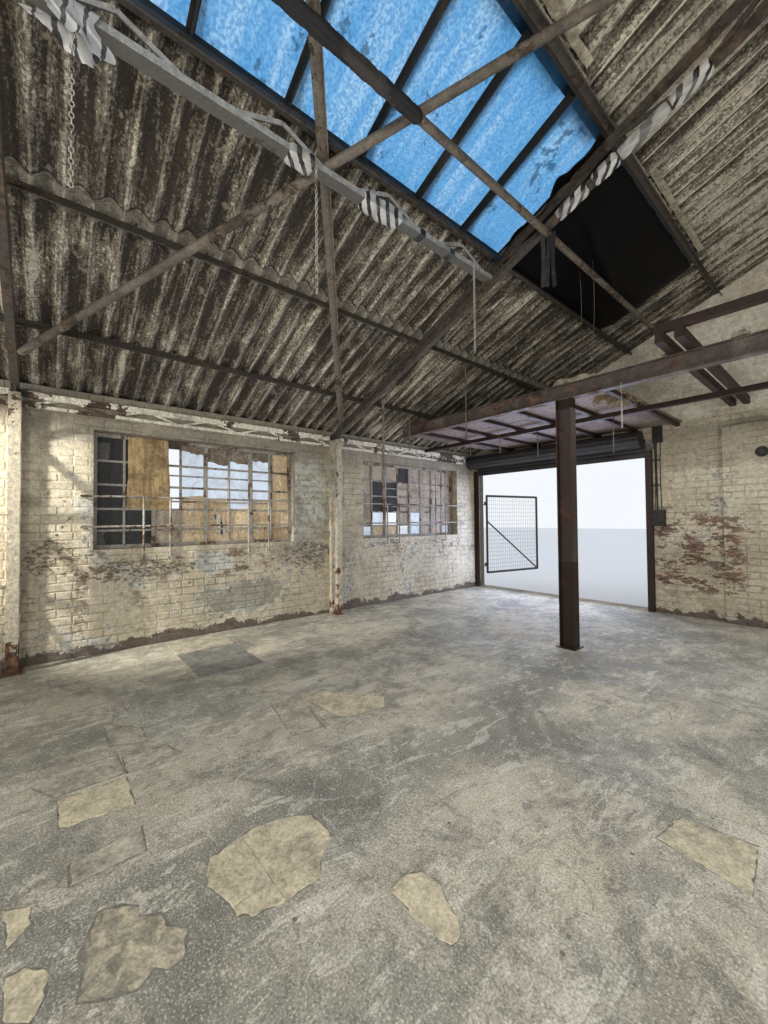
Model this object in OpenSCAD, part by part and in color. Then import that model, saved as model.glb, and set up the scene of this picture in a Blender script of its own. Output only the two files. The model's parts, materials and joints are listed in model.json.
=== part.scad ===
// Single-storey gabled workshop with brick walls, lattice rafters, a corrugated roof and long roof lights.
// The front gable with the doorway faces -Y, +X is the east side and the ground is at Z = 0.

/* [Overall] */
// Clear width between the side walls
clear_span = 9120; // [7200:10:12000]
// Length of one bay between rafter lines
bay = 3120; // [2600:10:4000]
// Number of bays
bay_count = 5; // [3:1:6]
// Height from the floor to the roof seat at the side walls
eaves_h = 2400; // [2300:10:3400]
// Slope of the roof in degrees
pitch = 22.5; // [18:0.5:28]
// Thickness of the brick walls
wall_t = 225; // [200:5:340]
// Thickness of the concrete floor
floor_t = 100; // [75:5:200]
// Reach of the roof sheets beyond the side walls
eaves_over = 85; // [60:5:150]
// Least reach of the roof sheets beyond the gables
verge_over = 60; // [30:5:150]

/* [Doorway] */
// Clear width of the doorway
door_w = 2745; // [2100:5:3300]
// Height of the opening in the wall
door_h = 2100; // [2000:10:2150]
// Clear height below the rolled shutter
shutter_clear = 2000; // [1850:10:2050]
// Radius of the rolled shutter
coil_r = 115; // [90:5:120]
// Height of the lintel
lintel_h = 130; // [100:5:150]
// Bearing of the lintel at each end
lintel_bearing = 110; // [75:5:150]

/* [Gates] */
// Angle that the gate leaves stand open at rest
gate_open = 78; // [0:1:90]
// Height of the top of the gate leaves above the floor
gate_top = 1680; // [1200:10:1900]
// Height of the foot of the gate leaves above the floor
gate_foot = 190; // [60:5:250]
// Radius of the gate tubes
gate_r = 21; // [15:1:30]
// Distance from the wall face to the hinge pins
gate_off = 100; // [70:5:150]
// Distance from the edge of the doorway to the hinge pins
gate_set = 40; // [25:5:60]
// Radius of the hinge pins
pin_r = 9; // [7:0.5:12]

/* [Windows] */
// Width of a window opening
window_w = 2050; // [1500:10:2200]
// Height of the sill above the floor
sill_h = 955; // [800:5:1200]
// Height of the window opening
window_h = 1115; // [800:5:1150]
// Width of the steel window members
frame_w = 36; // [25:1:60]
// Depth of the steel window members
frame_d = 40; // [25:1:60]

/* [Structure] */
// Distance from the side wall to the lowest purlin, measured level
purlin_edge = 665; // [350:1:800]
// Distance from the ridge line to the top purlin
purlin_first = 95; // [45:1:120]
// Depth of the purlins
purlin_d = 65; // [45:1:90]
// Width of the purlin flange
purlin_w = 50; // [40:1:70]
// Depth of the rafter chords
chord_d = 45; // [30:1:70]
// Width of the rafter chords
chord_w = 50; // [35:1:80]
// Drop of the lower chord below the upper one at the ridge
rafter_drop = 185; // [120:5:300]
// Thickness of the lacing bars
lacing_t = 12; // [8:1:20]
// Width of a stanchion across the bays
stanchion_w = 76; // [50:1:110]
// Depth of a stanchion leg
leg_d = 54; // [35:1:80]
// Depth of a stanchion out from the wall
stanchion_d = 195; // [140:5:260]
// Radius of the long tubes under the roof
tube_r = 28; // [15:1:32]
// Width of the flat leg of the angles below the lattice purlins
boom_w = 75; // [50:1:90]
// Height of their upright leg
boom_h = 38; // [25:1:60]
// Drop from the sheets to the underside of those angles
lattice_drop = 212; // [200:1:300]

/* [Roof lights] */
// Distance from the gables to the ends of the roof lights
light_inset = 1000; // [600:10:1500]
// Distance between glazing bars
glazing_gap = 500; // [400:1:620]
// Thickness of the glass
glass_t = 6; // [4:1:10]

/* [Sheets] */
// Pitch of the corrugations
wave = 146; // [120:1:180]
// Depth of the corrugations
wave_d = 48; // [30:1:60]
// Thickness of the sheets
sheet_t = 6; // [5:1:10]
// Radius of the gutters
gutter_r = 72; // [50:1:90]

/* [Platform] */
// Distance from the front wall to the main beam
platform_d = 2256; // [1800:2:2800]
// Height from the floor to the underside of the main beam
platform_h = 2340; // [2250:10:2400]
// Depth of the main beam and width of the post
beam_d = 144; // [120:2:180]
// Distance of the posts from the middle of the span
post_x = 1800; // [1500:10:2400]
// Distance between joists
joist_gap = 460; // [350:5:600]

/* [Hidden] */
$fn = 32;

fit = 0.3;
half = clear_span / 2;
len_in = bay * bay_count;
len_out = len_in + 2 * wall_t;
slope = tan(pitch);
waves = ceil((len_out + 2 * verge_over) / wave);
sheet_w = waves * wave;
wave_steps = 6;
lap = 140;
eaves_x = half + wall_t + eaves_over;

// Gate leaf and its reach in front of the wall
pin_west = half - door_w - gate_set;
pin_east = half + gate_set;
leaf_gap = 20;
leaf_len = (pin_east - pin_west - leaf_gap) / 2;
leaf_set = 46;
gate_reach = gate_off + (leaf_len - gate_r) * sin(gate_open) + gate_r;

// The whole part is centred on its box along Y
total_y = gate_reach + len_out / 2 + sheet_w / 2;
front_out = -total_y / 2 + gate_reach;
front_in = front_out + wall_t;
rear_in = front_in + len_in;
rear_out = rear_in + wall_t;
middle_y = (front_in + rear_in) / 2;

door_x = half - door_w;
window_top = sill_h + window_h;
window_back = 60;

purlin_gap = (half - purlin_edge - purlin_first) / 4;
purlin_x = [for (i = [0:4]) purlin_first + i * purlin_gap];
rafter_y = [for (i = [1:bay_count - 1]) front_in + i * bay];
window_y = [for (i = [0:bay_count - 1]) front_in + (i + 0.5) * bay];

// Height of the plane that carries the sheets, at a distance x from the middle
function roof_z(x) = floor_t + eaves_h + (half - abs(x)) * slope;
// The same plane lowered by a depth measured square to the slope
function below_roof(x, n) = roof_z(x) - n / cos(pitch);
// Distance down the slope for a level distance
function down(x) = x / cos(pitch);
// Underside of the purlins, where the rafters start
function rafter_z(x) = below_roof(x, purlin_d + fit);

heel_x = half - stanchion_d + leg_d / 2;
lower_heel_z = rafter_z(heel_x) - chord_d;
lower_ridge_z = rafter_z(0) - rafter_drop;
// Top line of the lower chord of a rafter
function lower_z(x) = lower_heel_z + (heel_x - x) / heel_x * (lower_ridge_z - lower_heel_z);

// A section drawn in level distance and height, carried along Y
module run_y(from_y, to_y) {
    translate([0, to_y, 0])
    rotate([90, 0, 0])
    linear_extrude(to_y - from_y)
    children();
}

// A section drawn in distance down the slope and height square to it, carried along Y
module run_slope(from_y, to_y) {
    translate([0, to_y, roof_z(0)])
    rotate([0, pitch, 0])
    rotate([90, 0, 0])
    linear_extrude(to_y - from_y)
    children();
}

// Both sides of the building
module both_sides() {
    children();
    mirror([1, 0, 0]) children();
}

// A bar outline between two points, with upright ends and the given upright depth
module bar_outline(a, b, depth) {
    polygon([a, b, [b[0], b[1] - depth], [a[0], a[1] - depth]]);
}

// A lacing bar outline between two points, of the given width
module lace_outline(a, b, width) {
    angle = atan2(b[1] - a[1], b[0] - a[0]);
    translate(a)
    rotate(angle)
    translate([0, -width / 2])
    square([norm(b - a), width]);
}

// A round bar between two points
module rod(a, b, radius) {
    d = b - a;
    translate(a)
    rotate([0, atan2(norm([d[0], d[1]]), d[2]), atan2(d[1], d[0])])
    cylinder(r = radius, h = norm(d));
}

module floor_slab() {
    color("darkgray")
    union() {
        translate([-half, front_in, 0]) cube([clear_span, len_in, floor_t]);
        translate([door_x, front_out, 0]) cube([door_w, wall_t, floor_t]);
    }
}

// A side wall on the +X side, its top cut to the slope of the roof
module side_wall(has_lintel) {
    outer = half + wall_t;
    difference() {
        run_y(front_out, rear_out)
        polygon([
            [half, 0], [outer, 0], [outer, roof_z(outer) - fit], [half, roof_z(half) - fit]
        ]);
        for (y = window_y)
            translate([half - 1, y - window_w / 2, floor_t + sill_h])
            cube([wall_t + 2, window_w, window_h]);
        if (has_lintel)
            translate([half - 1, front_out - 1, floor_t + door_h])
            cube([lintel_bearing + 1, wall_t + 1, lintel_h]);
    }
}

module east_wall() {
    color("tan") side_wall(true);
}

module west_wall() {
    color("tan") mirror([1, 0, 0]) side_wall(false);
}

// Thickening of the front wall, which ends in a ledge before the doorway
ledge_x = door_x - 784;
ledge_h = 2256;
ledge_d = 60;

module front_wall() {
    color("wheat")
    difference() {
        union() {
            run_y(front_out, front_in)
            polygon([
                [-half, 0], [door_x, 0], [door_x, roof_z(door_x) - fit],
                [0, roof_z(0) - fit], [-half, roof_z(half) - fit]
            ]);
            translate([-half, front_in - 1, floor_t]) cube([half + ledge_x, ledge_d + 1, ledge_h]);
        }
        translate([door_x - lintel_bearing, front_out - 1, floor_t + door_h])
        cube([lintel_bearing + 1, wall_t + 2, lintel_h]);
    }
}

module door_head_wall() {
    z = floor_t + door_h + lintel_h;
    color("wheat")
    run_y(front_out, front_in)
    polygon([[door_x, z], [half, z], [half, roof_z(half) - fit], [door_x, roof_z(door_x) - fit]]);
}

rear_window_x = [-clear_span / 4, clear_span / 4];

module rear_wall() {
    color("wheat")
    difference() {
        run_y(rear_in, rear_out)
        polygon([
            [-half, 0], [half, 0], [half, roof_z(half) - fit],
            [0, roof_z(0) - fit], [-half, roof_z(half) - fit]
        ]);
        for (x = rear_window_x)
            translate([x - window_w / 2, rear_in - 1, floor_t + sill_h])
            cube([window_w, wall_t + 2, window_h]);
    }
}

base_t = 10;
cap_t = 10;
stanchion_top = rafter_z(half) - chord_d - cap_t - 6;
stanchion_panels = 7;

// A lattice stanchion against the +X wall at its own place along Y
module stanchion() {
    foot = floor_t + base_t;
    head = stanchion_top - cap_t;
    inner = half - stanchion_d;
    outer = half - leg_d - fit;
    panel = (head - foot) / stanchion_panels;
    for (x = [inner, outer])
        translate([x, -stanchion_w / 2, foot]) cube([leg_d, stanchion_w, head - foot]);
    rotate([90, 0, 0])
    linear_extrude(lacing_t, center = true)
    for (i = [0:stanchion_panels - 1]) {
        from = i % 2 == 0 ? outer : inner;
        to = i % 2 == 0 ? inner : outer;
        lace_outline([from + leg_d / 2, foot + i * panel], [to + leg_d / 2, foot + (i + 1) * panel], 30);
    }
    translate([inner - 30, -stanchion_w / 2 - 30, floor_t])
    cube([stanchion_d + 30 - fit, stanchion_w + 60, base_t]);
    translate([inner, -stanchion_w / 2, head]) cube([stanchion_d - fit, stanchion_w, cap_t]);
}

module east_stanchions() {
    color("beige")
    for (y = rafter_y) translate([0, y, 0]) stanchion();
}

module west_stanchions() {
    color("beige")
    mirror([1, 0, 0])
    for (y = rafter_y) translate([0, y, 0]) stanchion();
}

ridge_plate_t = 12;

// Outline of the two chords, the heel and the ridge plate of a rafter
module rafter_chords() {
    bar_outline([half - fit, rafter_z(half)], [fit / 2, rafter_z(0)], chord_d / cos(pitch));
    bar_outline([heel_x, lower_z(heel_x)], [fit / 2, lower_z(0)], chord_d / cos(pitch));
}

// Outline of the heel plate and of the lacing between the chords
module rafter_lacing() {
    polygon([
        [half - fit, stanchion_top], [half - fit, rafter_z(half) - 4],
        [half - stanchion_d, rafter_z(half - stanchion_d) - 4], [half - stanchion_d, stanchion_top]
    ]);
    mid = chord_d / 2 / cos(pitch);
    for (i = [0:3])
        let (low = [purlin_x[i] + purlin_gap / 2, lower_z(purlin_x[i] + purlin_gap / 2) - mid]) {
            lace_outline(low, [purlin_x[i], rafter_z(purlin_x[i]) - mid], 34);
            lace_outline(low, [purlin_x[i + 1], rafter_z(purlin_x[i + 1]) - mid], 34);
        }
    polygon([
        [fit / 2, lower_z(0) - mid], [fit / 2, rafter_z(0) - mid],
        [190, rafter_z(190) - mid], [190, lower_z(190) - mid]
    ]);
}

// One lattice rafter on the +X side
module rafter() {
    rotate([90, 0, 0]) linear_extrude(chord_w, center = true) rafter_chords();
    rotate([90, 0, 0]) linear_extrude(lacing_t, center = true) rafter_lacing();
    translate([fit / 2, -chord_w / 2, lower_z(0) - chord_d])
    cube([ridge_plate_t, chord_w, rafter_drop + chord_d / 2]);
}

module east_rafters() {
    color("dimgray")
    for (y = rafter_y) translate([0, y, 0]) rafter();
}

module west_rafters() {
    color("dimgray")
    mirror([1, 0, 0])
    for (y = rafter_y) translate([0, y, 0]) rafter();
}

purlin_t = 8;

// Angle purlins along the +X slope
module purlins() {
    for (x = purlin_x)
        run_slope(front_in + fit, rear_in - fit)
        translate([down(x) - purlin_w / 2, -purlin_d]) {
            translate([0, purlin_d - purlin_t]) square([purlin_w, purlin_t]);
            square([purlin_t, purlin_d]);
        }
}

module east_purlins() {
    color("gray") purlins();
}

module west_purlins() {
    color("gray") mirror([1, 0, 0]) purlins();
}

lattice_x = purlin_x[2];
lattice_panels = 8;

boom_t = 6;
lace_t = 8;
lace_w = 28;
lace_spread = 100;

// The lattice under one purlin between two rafters: an angle hung on zigzag lacing
module lattice_bay(y) {
    y1 = y + chord_w / 2 + fit;
    y2 = y + bay - chord_w / 2 - fit;
    inset = 7;
    top = below_roof(lattice_x, purlin_d) - 12;
    low = roof_z(lattice_x) - lattice_drop;
    foot = low + boom_t + lace_w / 2 - 2;
    step = (y2 - y1 - 2 * inset) / lattice_panels;
    translate([lattice_x - lace_t / 2 - boom_t + 1, y1, low]) {
        cube([boom_w, y2 - y1, boom_t]);
        cube([boom_t, y2 - y1, boom_h]);
    }
    translate([lattice_x - lace_t / 2, 0, 0])
    rotate([90, 0, 90])
    linear_extrude(lace_t)
    for (i = [0:lattice_panels - 1]) {
        a = i % 2 == 0 ? [lace_spread, foot] : [0, top];
        b = i % 2 == 0 ? [0, top] : [-lace_spread, foot];
        lace_outline(a + [y1 + inset + i * step, 0], b + [y1 + inset + (i + 1) * step, 0], lace_w);
    }
    // Cleats that hang the lacing on the purlin
    for (i = [0:2:lattice_panels - 1])
        translate([lattice_x + lace_t / 2, y1 + inset + (i + 1) * step - 25, top - 14])
        cube([6, 50, 24]);
}

module lattice_purlins() {
    color("silver")
    both_sides()
    for (i = [0:bay_count - 3]) lattice_bay(rafter_y[i]);
}

angle_w = 63;
angle_d = 30;
angle_t = 8;
angle_low_x = half - stanchion_d - 90;
angle_top_x = purlin_first + 30;

// An angle below the purlins from the first rafter at the eaves to the second one at the ridge
module brace_angle() {
    run = down(angle_low_x - angle_top_x);
    angle = atan2(bay - chord_w, run);
    across = angle_w / 2 * cos(angle);
    y1 = rafter_y[0] + chord_w / 2 + across + fit;
    y2 = rafter_y[1] - chord_w / 2 - across - fit;
    translate([0, 0, roof_z(0)])
    rotate([0, pitch, 0])
    translate([down(angle_top_x), y2, -purlin_d - fit])
    rotate([0, 0, atan2(y1 - y2, run)]) {
        translate([0, -angle_w / 2, -angle_t]) cube([norm([run, y1 - y2]), angle_w, angle_t]);
        translate([0, -angle_w / 2, -angle_d]) cube([norm([run, y1 - y2]), angle_t, angle_d]);
    }
}

tube_low_x = purlin_x[4] + 80;
tube_top_x = purlin_first - 50;
tube_low_n = purlin_d + angle_d + 2 * tube_r + 8;
tube_top_n = purlin_d + tube_r + fit;
tube_set = 213;

// A tube across the angle, from the second rafter up to the top purlin near the first rafter
module brace_tube() {
    rise = (tube_low_n - tube_top_n) / (tube_low_x - tube_top_x);
    y1 = rafter_y[0] + tube_set;
    run = [tube_low_x - tube_top_x, bay - tube_set, (tube_low_x - tube_top_x) * slope];
    y2 = rafter_y[1] - chord_w / 2 - tube_r * sqrt(1 - pow(run[1] / norm(run), 2)) - fit;
    rod([tube_low_x, y2, below_roof(tube_low_x, tube_low_n)],
        [tube_top_x, y1, below_roof(tube_top_x, tube_top_n - rise * (purlin_first - 21 - tube_top_x))], tube_r);
}

tie_x = (purlin_x[1] + purlin_x[2]) / 2 - 24;
tie_r = tube_r - 3;

// Crossed braces in both slopes, and the long tubes that tie the lower chords
module roof_tubes() {
    tie_z = lower_z(tie_x + tie_r) - chord_d / cos(pitch) - tie_r - fit;
    color("silver")
    both_sides() {
        brace_angle();
        brace_tube();
        rod([tie_x, front_in + fit, tie_z], [tie_x, rear_in - fit, tie_z], tie_r);
    }
}

eaves_beam_w = 40;
eaves_beam_x = half - eaves_beam_w - 5;
eaves_panels = 10;

// Lattice beams between the stanchions at the head of the +X wall, the first one set back from the front wall
module eaves_beams(front_gap) {
    top = floor_t + eaves_h - 75;
    low = top - 135;
    middle = eaves_beam_x + eaves_beam_w / 2;
    inset = 7;
    for (i = [0:bay_count - 1]) {
        y1 = front_in + i * bay + (i == 0 ? front_gap : stanchion_w / 2 + fit);
        y2 = front_in + (i + 1) * bay - (i == bay_count - 1 ? fit : stanchion_w / 2 + fit);
        step = (y2 - y1 - 2 * inset) / eaves_panels;
        translate([eaves_beam_x, y1, top - 55]) cube([eaves_beam_w, y2 - y1, 55]);
        translate([eaves_beam_x + 6, y1, low]) cube([eaves_beam_w - 12, y2 - y1, 28]);
        translate([middle - 4, 0, 0])
        rotate([90, 0, 90])
        linear_extrude(8)
        for (k = [0:eaves_panels - 1]) {
            a = k % 2 == 0 ? low + 14 : top - 27;
            b = k % 2 == 0 ? top - 27 : low + 14;
            lace_outline([y1 + inset + k * step, a], [y1 + inset + (k + 1) * step, b], 20);
        }
    }
}

module east_eaves_beams() {
    color("ivory") eaves_beams(guide_d + 2 * coil_r + 30);
}

module west_eaves_beams() {
    color("ivory") mirror([1, 0, 0]) eaves_beams(ledge_d + fit);
}

// Height of the corrugation at a distance along the sheet
function wave_h(y) = wave_d / 2 * (1 - cos(360 * y / wave));

// Corrugated outline from wave number a to wave number b
module wave_outline(a, b) {
    steps = [for (i = [a * wave_steps:b * wave_steps]) i * wave / wave_steps];
    n = len(steps);
    polygon(concat(
        [for (y = steps) [y, wave_h(y)]],
        [for (i = [0:n - 1]) [steps[n - 1 - i], wave_h(steps[n - 1 - i]) + sheet_t]]));
}

// Lift of the lower edge of a band of sheets that laps over another
function lift(length, over) =
    over > 0 ? (sheet_t / cos(pitch) + 3 * fit) * length / (length - over) : fit;

// Sheets on the +X slope from a lower to an upper edge; the lower edge is lifted over the sheets below
module sheet_band(low_x, top_x, over, a, b) {
    length = down(low_x - top_x);
    tilt = asin((lift(length, over) - fit) / length);
    translate([top_x, middle_y - sheet_w / 2, roof_z(top_x)])
    rotate([0, pitch - tilt, 0])
    rotate([90, 0, 90])
    translate([0, fit, 0])
    linear_extrude(length)
    wave_outline(a, b);
}

lower_top_x = purlin_x[3] - lap / 2;
middle_low_x = purlin_x[3] + lap / 2;
middle_top_x = purlin_x[2] + 18;
end_low_x = middle_top_x + 100;
end_top_x = purlin_x[1] - 75;
upper_low_x = purlin_x[1] - 4;
upper_top_x = 15;

module east_lower_sheets() {
    color("slategray") sheet_band(eaves_x, lower_top_x, 0, 0, waves);
}

module west_lower_sheets() {
    color("slategray") mirror([1, 0, 0]) sheet_band(eaves_x, lower_top_x, 0, 0, waves);
}

module east_middle_sheets() {
    color("slategray") sheet_band(middle_low_x, middle_top_x, lap, 0, waves);
}

module west_middle_sheets() {
    color("slategray") mirror([1, 0, 0]) sheet_band(middle_low_x, middle_top_x, lap, 0, waves);
}

module east_upper_sheets() {
    color("slategray") sheet_band(upper_low_x, upper_top_x, upper_low_x - end_top_x, 0, waves);
}

module west_upper_sheets() {
    color("slategray")
    mirror([1, 0, 0])
    sheet_band(upper_low_x, upper_top_x, upper_low_x - end_top_x, 0, waves);
}

light_front = front_in + light_inset;
light_rear = rear_in - light_inset;
curb_w = 38;
// Whole corrugations that fit between the verge and the roof lights
end_waves = floor((light_front - curb_w - (middle_y - sheet_w / 2)) / wave);

module end_sheets() {
    over = end_low_x - middle_top_x;
    color("slategray")
    both_sides() {
        sheet_band(end_low_x, end_top_x, over, 0, end_waves);
        sheet_band(end_low_x, end_top_x, over, waves - end_waves, waves);
    }
}

cap_wing = 230;

module ridge_cap() {
    upper_length = down(upper_low_x - upper_top_x);
    edge_lift = lift(upper_length, upper_low_x - end_top_x) * (cap_wing - upper_top_x) / (upper_low_x - upper_top_x);
    seat = (wave_d + sheet_t + edge_lift + 2 * fit) / cos(pitch);
    t = sheet_t / cos(pitch);
    color("slategray")
    run_y(middle_y - sheet_w / 2, middle_y + sheet_w / 2) {
        polygon([
            [-cap_wing, roof_z(cap_wing) + seat], [0, roof_z(0) + seat], [cap_wing, roof_z(cap_wing) + seat],
            [cap_wing, roof_z(cap_wing) + seat + t], [0, roof_z(0) + seat + t], [-cap_wing, roof_z(cap_wing) + seat + t]
        ]);
        translate([0, roof_z(0) + seat + 22]) circle(r = 36);
    }
}

gutter_t = 4;

// Half-round gutter with its brackets and two downpipes on the +X side
module gutter() {
    x = eaves_x + 18;
    z = roof_z(eaves_x) - 12;
    y1 = middle_y - sheet_w / 2;
    y2 = middle_y + sheet_w / 2;
    run_y(y1, y2)
    translate([x, z])
    difference() {
        circle(r = gutter_r);
        circle(r = gutter_r - gutter_t);
        translate([-gutter_r, 0]) square([2 * gutter_r, gutter_r]);
    }
    for (i = [0:bay_count]) {
        y = front_out + 60 + i * (len_out - 120) / bay_count;
        translate([half + wall_t + fit, y - 15, z - gutter_r - 5])
        cube([x - half - wall_t + 10, 30, 8]);
    }
    for (y = [front_out + 180, rear_out - 180])
        translate([x, y, 60]) cylinder(r = 36, h = z - gutter_r - 58);
}

module gutters() {
    color("darkslategray") both_sides() gutter();
}

// Height of the glass over the plane that carries the sheets, clear of their crests
glass_n = wave_d + 3 * sheet_t;
light_top_x = purlin_x[1] + 4;
light_low_x = purlin_x[2] - 24;
head_w = 44;

// Curbs round the roof light on the +X slope
module light_curb() {
    union() {
        run_slope(light_front - curb_w, light_rear + curb_w)
        translate([down(light_low_x), fit]) square([curb_w, glass_n - fit]);
        run_slope(light_front - curb_w, light_rear + curb_w) {
            translate([down(light_top_x), fit]) square([head_w, glass_n + 12]);
            translate([down(light_top_x) - 60, glass_n + glass_t + 2]) square([150, 4]);
        }
        for (y = [light_front - curb_w, light_rear])
            run_slope(y, y + curb_w)
            translate([down(light_top_x), fit])
            square([down(light_low_x - light_top_x) + curb_w, glass_n - fit]);
    }
}

module light_curbs() {
    color("black") both_sides() light_curb();
}

// Glazing bars at equal gaps along the roof light
module glazing_bars() {
    gaps = round((light_rear - light_front) / glazing_gap);
    step = (light_rear - light_front) / gaps;
    s1 = down(light_top_x) + head_w + fit;
    s2 = down(light_low_x) - fit;
    color("black")
    both_sides()
    for (i = [1:gaps - 1]) {
        y = light_front + i * step;
        run_slope(y - 5, y + 5) translate([s1, 8]) square([s2 - s1, glass_n - 8]);
        run_slope(y - 20, y + 20) translate([s1, glass_n - 6]) square([s2 - s1, 6]);
    }
}

module roof_glass() {
    s1 = down(light_top_x) + head_w + fit;
    s2 = down(light_low_x) + curb_w + 30;
    color("skyblue")
    both_sides()
    run_slope(light_front - 20, light_rear + 20)
    translate([s1, glass_n + fit])
    square([s2 - s1, glass_t]);
}

// Loose sheeting fixed below the glass of the first bay
module black_sheeting() {
    s1 = down(light_top_x) + head_w + 1;
    s2 = down(light_low_x) - 1;
    color("black")
    run_slope(light_front + 2, rafter_y[0] - 40)
    translate([s1, 2.5])
    square([s2 - s1, 5]);
}

// Steel frame of one window, standing on the XZ plane with its middle at the origin
module window_frame() {
    w = window_w - 2 * fit;
    h = window_h - 2 * fit;
    translate([0, 0, fit])
    rotate([90, 0, 0])
    linear_extrude(frame_d) {
        difference() {
            translate([-w / 2, 0]) square([w, h]);
            translate([-w / 2 + frame_w, frame_w]) square([w - 2 * frame_w, h - 2 * frame_w]);
        }
        for (i = [1:3])
            translate([-w / 2 + i * w / 4 - frame_w / 2, 1]) square([frame_w, h - 2]);
    }
}

module window_pane() {
    w = window_w - 2 * fit - 2;
    translate([-w / 2, fit, 1]) cube([w, 4, window_h - 2]);
}

// Puts a window in each opening: its outside face to the weather
module at_windows() {
    x = half + wall_t - window_back;
    both_sides()
    for (y = window_y)
        translate([x, y, floor_t + sill_h]) rotate([0, 0, -90]) children();
    for (x2 = rear_window_x)
        translate([x2, rear_out - window_back, floor_t + sill_h]) children();
}

module window_frames() {
    color("rosybrown") at_windows() window_frame();
}

module window_glass() {
    color("lightsteelblue") at_windows() window_pane();
}

guard_r = 10;
guard_out = 62;
// Places of the upright bars from the middle of the window, and the height of each top
guard_bars_at = [[-650, 2010], [-410, 2010], [395, 1450], [630, 1450]];
guard_rails = [1170, 1450];

// Guard bars over one window of the +X wall
module window_guard() {
    x = half - guard_out;
    reach = window_w / 2 + 90;
    for (h = guard_rails) {
        rod([x, -reach, floor_t + h], [x, reach, floor_t + h], guard_r);
        for (y = [-reach, reach])
            rod([x, y, floor_t + h], [half - fit, y, floor_t + h], guard_r);
    }
    for (bar = guard_bars_at) {
        rod([x, bar[0], floor_t + sill_h - 90], [x, bar[0], floor_t + bar[1] + 12], guard_r);
        rod([x, bar[0], floor_t + sill_h - 80], [half - fit, bar[0], floor_t + sill_h - 80], guard_r);
    }
}

module guard_bars() {
    color("rosybrown")
    both_sides()
    for (y = window_y) translate([0, y, 0]) window_guard();
}

guide_w = 72;
guide_d = 60;
coil_y = front_in + guide_d + coil_r + 4;
coil_z = floor_t + 2225;

module roller_shutter() {
    x1 = door_x;
    x2 = half - 2 * fit;
    slat_y = front_in + 24;
    color("darkslategray")
    union() {
        rod([x1, coil_y, coil_z], [x2, coil_y, coil_z], coil_r);
        translate([x1, slat_y, floor_t + shutter_clear])
        cube([x2 - x1 - guide_w, 14, coil_z + 30 - floor_t - shutter_clear]);
        translate([x1, slat_y, coil_z + 10]) cube([x2 - x1 - guide_w, coil_y - slat_y, 20]);
        translate([x1, slat_y - 8, floor_t + shutter_clear]) cube([x2 - x1 - guide_w, 30, 60]);
    }
}

module shutter_guides() {
    top = floor_t + shutter_clear + 90;
    color("saddlebrown") {
        translate([half - guide_w - fit, front_in + fit, floor_t])
        cube([guide_w, 12, top - floor_t]);
        translate([half - 12 - fit, front_in + fit, floor_t]) cube([12, guide_d, top - floor_t]);
        translate([door_x - guide_w - fit, front_in + fit, floor_t])
        cube([guide_w, guide_d, top - floor_t]);
    }
}

module door_lintel() {
    color("gray")
    translate([door_x - lintel_bearing + fit, front_out + 2, floor_t + door_h])
    cube([door_w + 2 * lintel_bearing - 2 * fit, wall_t - 4, lintel_h]);
}

flange_t = 9;
web_t = 7;
boards_east = half - 480;
beam_z = floor_t + platform_h;
beam_y = front_in + platform_d;

// H section outline, as wide as it is deep
module h_outline(width) {
    for (s = [-1, 1]) translate([-width / 2, s * (beam_d - flange_t) / 2 - flange_t / 2]) square([width, flange_t]);
    translate([-web_t / 2, -beam_d / 2 + 1]) square([web_t, beam_d - 2]);
}

beam_end = boards_east;

module platform_posts() {
    color("maroon")
    both_sides() {
        translate([post_x, beam_y, floor_t]) {
            linear_extrude(platform_h - fit) rotate(90) h_outline(100);
            translate([-90, -90, 0]) cube([180, 180, 10]);
        }
    }
}

module main_beam() {
    color("maroon")
    translate([-beam_end, beam_y, beam_z + beam_d / 2])
    rotate([90, 0, 90])
    linear_extrude(2 * beam_end)
    h_outline(76);
}

joist_w = 40;
joist_z = beam_z + flange_t + 2;
board_t = 18;
boards_west = post_x - 360;
cross_y = front_in + 1356;
channel_x = post_x - 1020;
channel_len = 2620;
trimmer_w = 60;
trimmer_t = 5;

// A hollow beam that lies across the rear ends of the channels
module trimmer_beam() {
    reach = channel_x + 176;
    translate([-reach, front_in + channel_len - trimmer_w, beam_z + beam_d + 76 + 2 * fit])
    difference() {
        cube([2 * reach, trimmer_w, trimmer_w]);
        translate([-1, trimmer_t, trimmer_t])
        cube([2 * reach + 2, trimmer_w - 2 * trimmer_t, trimmer_w - 2 * trimmer_t]);
    }
}

module cross_beams() {
    color("maroon") {
        translate([-eaves_beam_x + fit, cross_y - 25, joist_z - 50 - fit])
        cube([2 * eaves_beam_x - 2 * fit, 50, 50]);
        both_sides()
        for (x = [channel_x, channel_x + 120])
            translate([x, front_in + fit, beam_z + beam_d + fit])
            cube([56, channel_len, 76]);
        trimmer_beam();
    }
}

module joists() {
    count = floor((boards_east - boards_west) / joist_gap);
    color("maroon")
    for (i = [0:count])
        translate([boards_west + i * joist_gap, front_in + fit, joist_z])
        cube([joist_w, platform_d - web_t / 2 - 2 * fit, joist_w]);
}

module ceiling_boards() {
    color("rosybrown")
    translate([boards_west - 30, front_in + 2, joist_z + joist_w + fit])
    cube([boards_east - boards_west + 60, platform_d - 40, board_t]);
}

hanger_r = 8;
chain_r = 6;
// Places of the chains from the front wall, and how high each one ends over the floor
chains_at = [[3403, 2535], [4863, 2500], [5973, 2525]];

// Chains that hang straight down from the lattice's angle, as the bars that they fill
module chains() {
    for (chain = chains_at)
        rod([lattice_x, front_in + chain[0], floor_t + chain[1]],
            [lattice_x, front_in + chain[0], roof_z(lattice_x) - lattice_drop - fit], chain_r);
}

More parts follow.
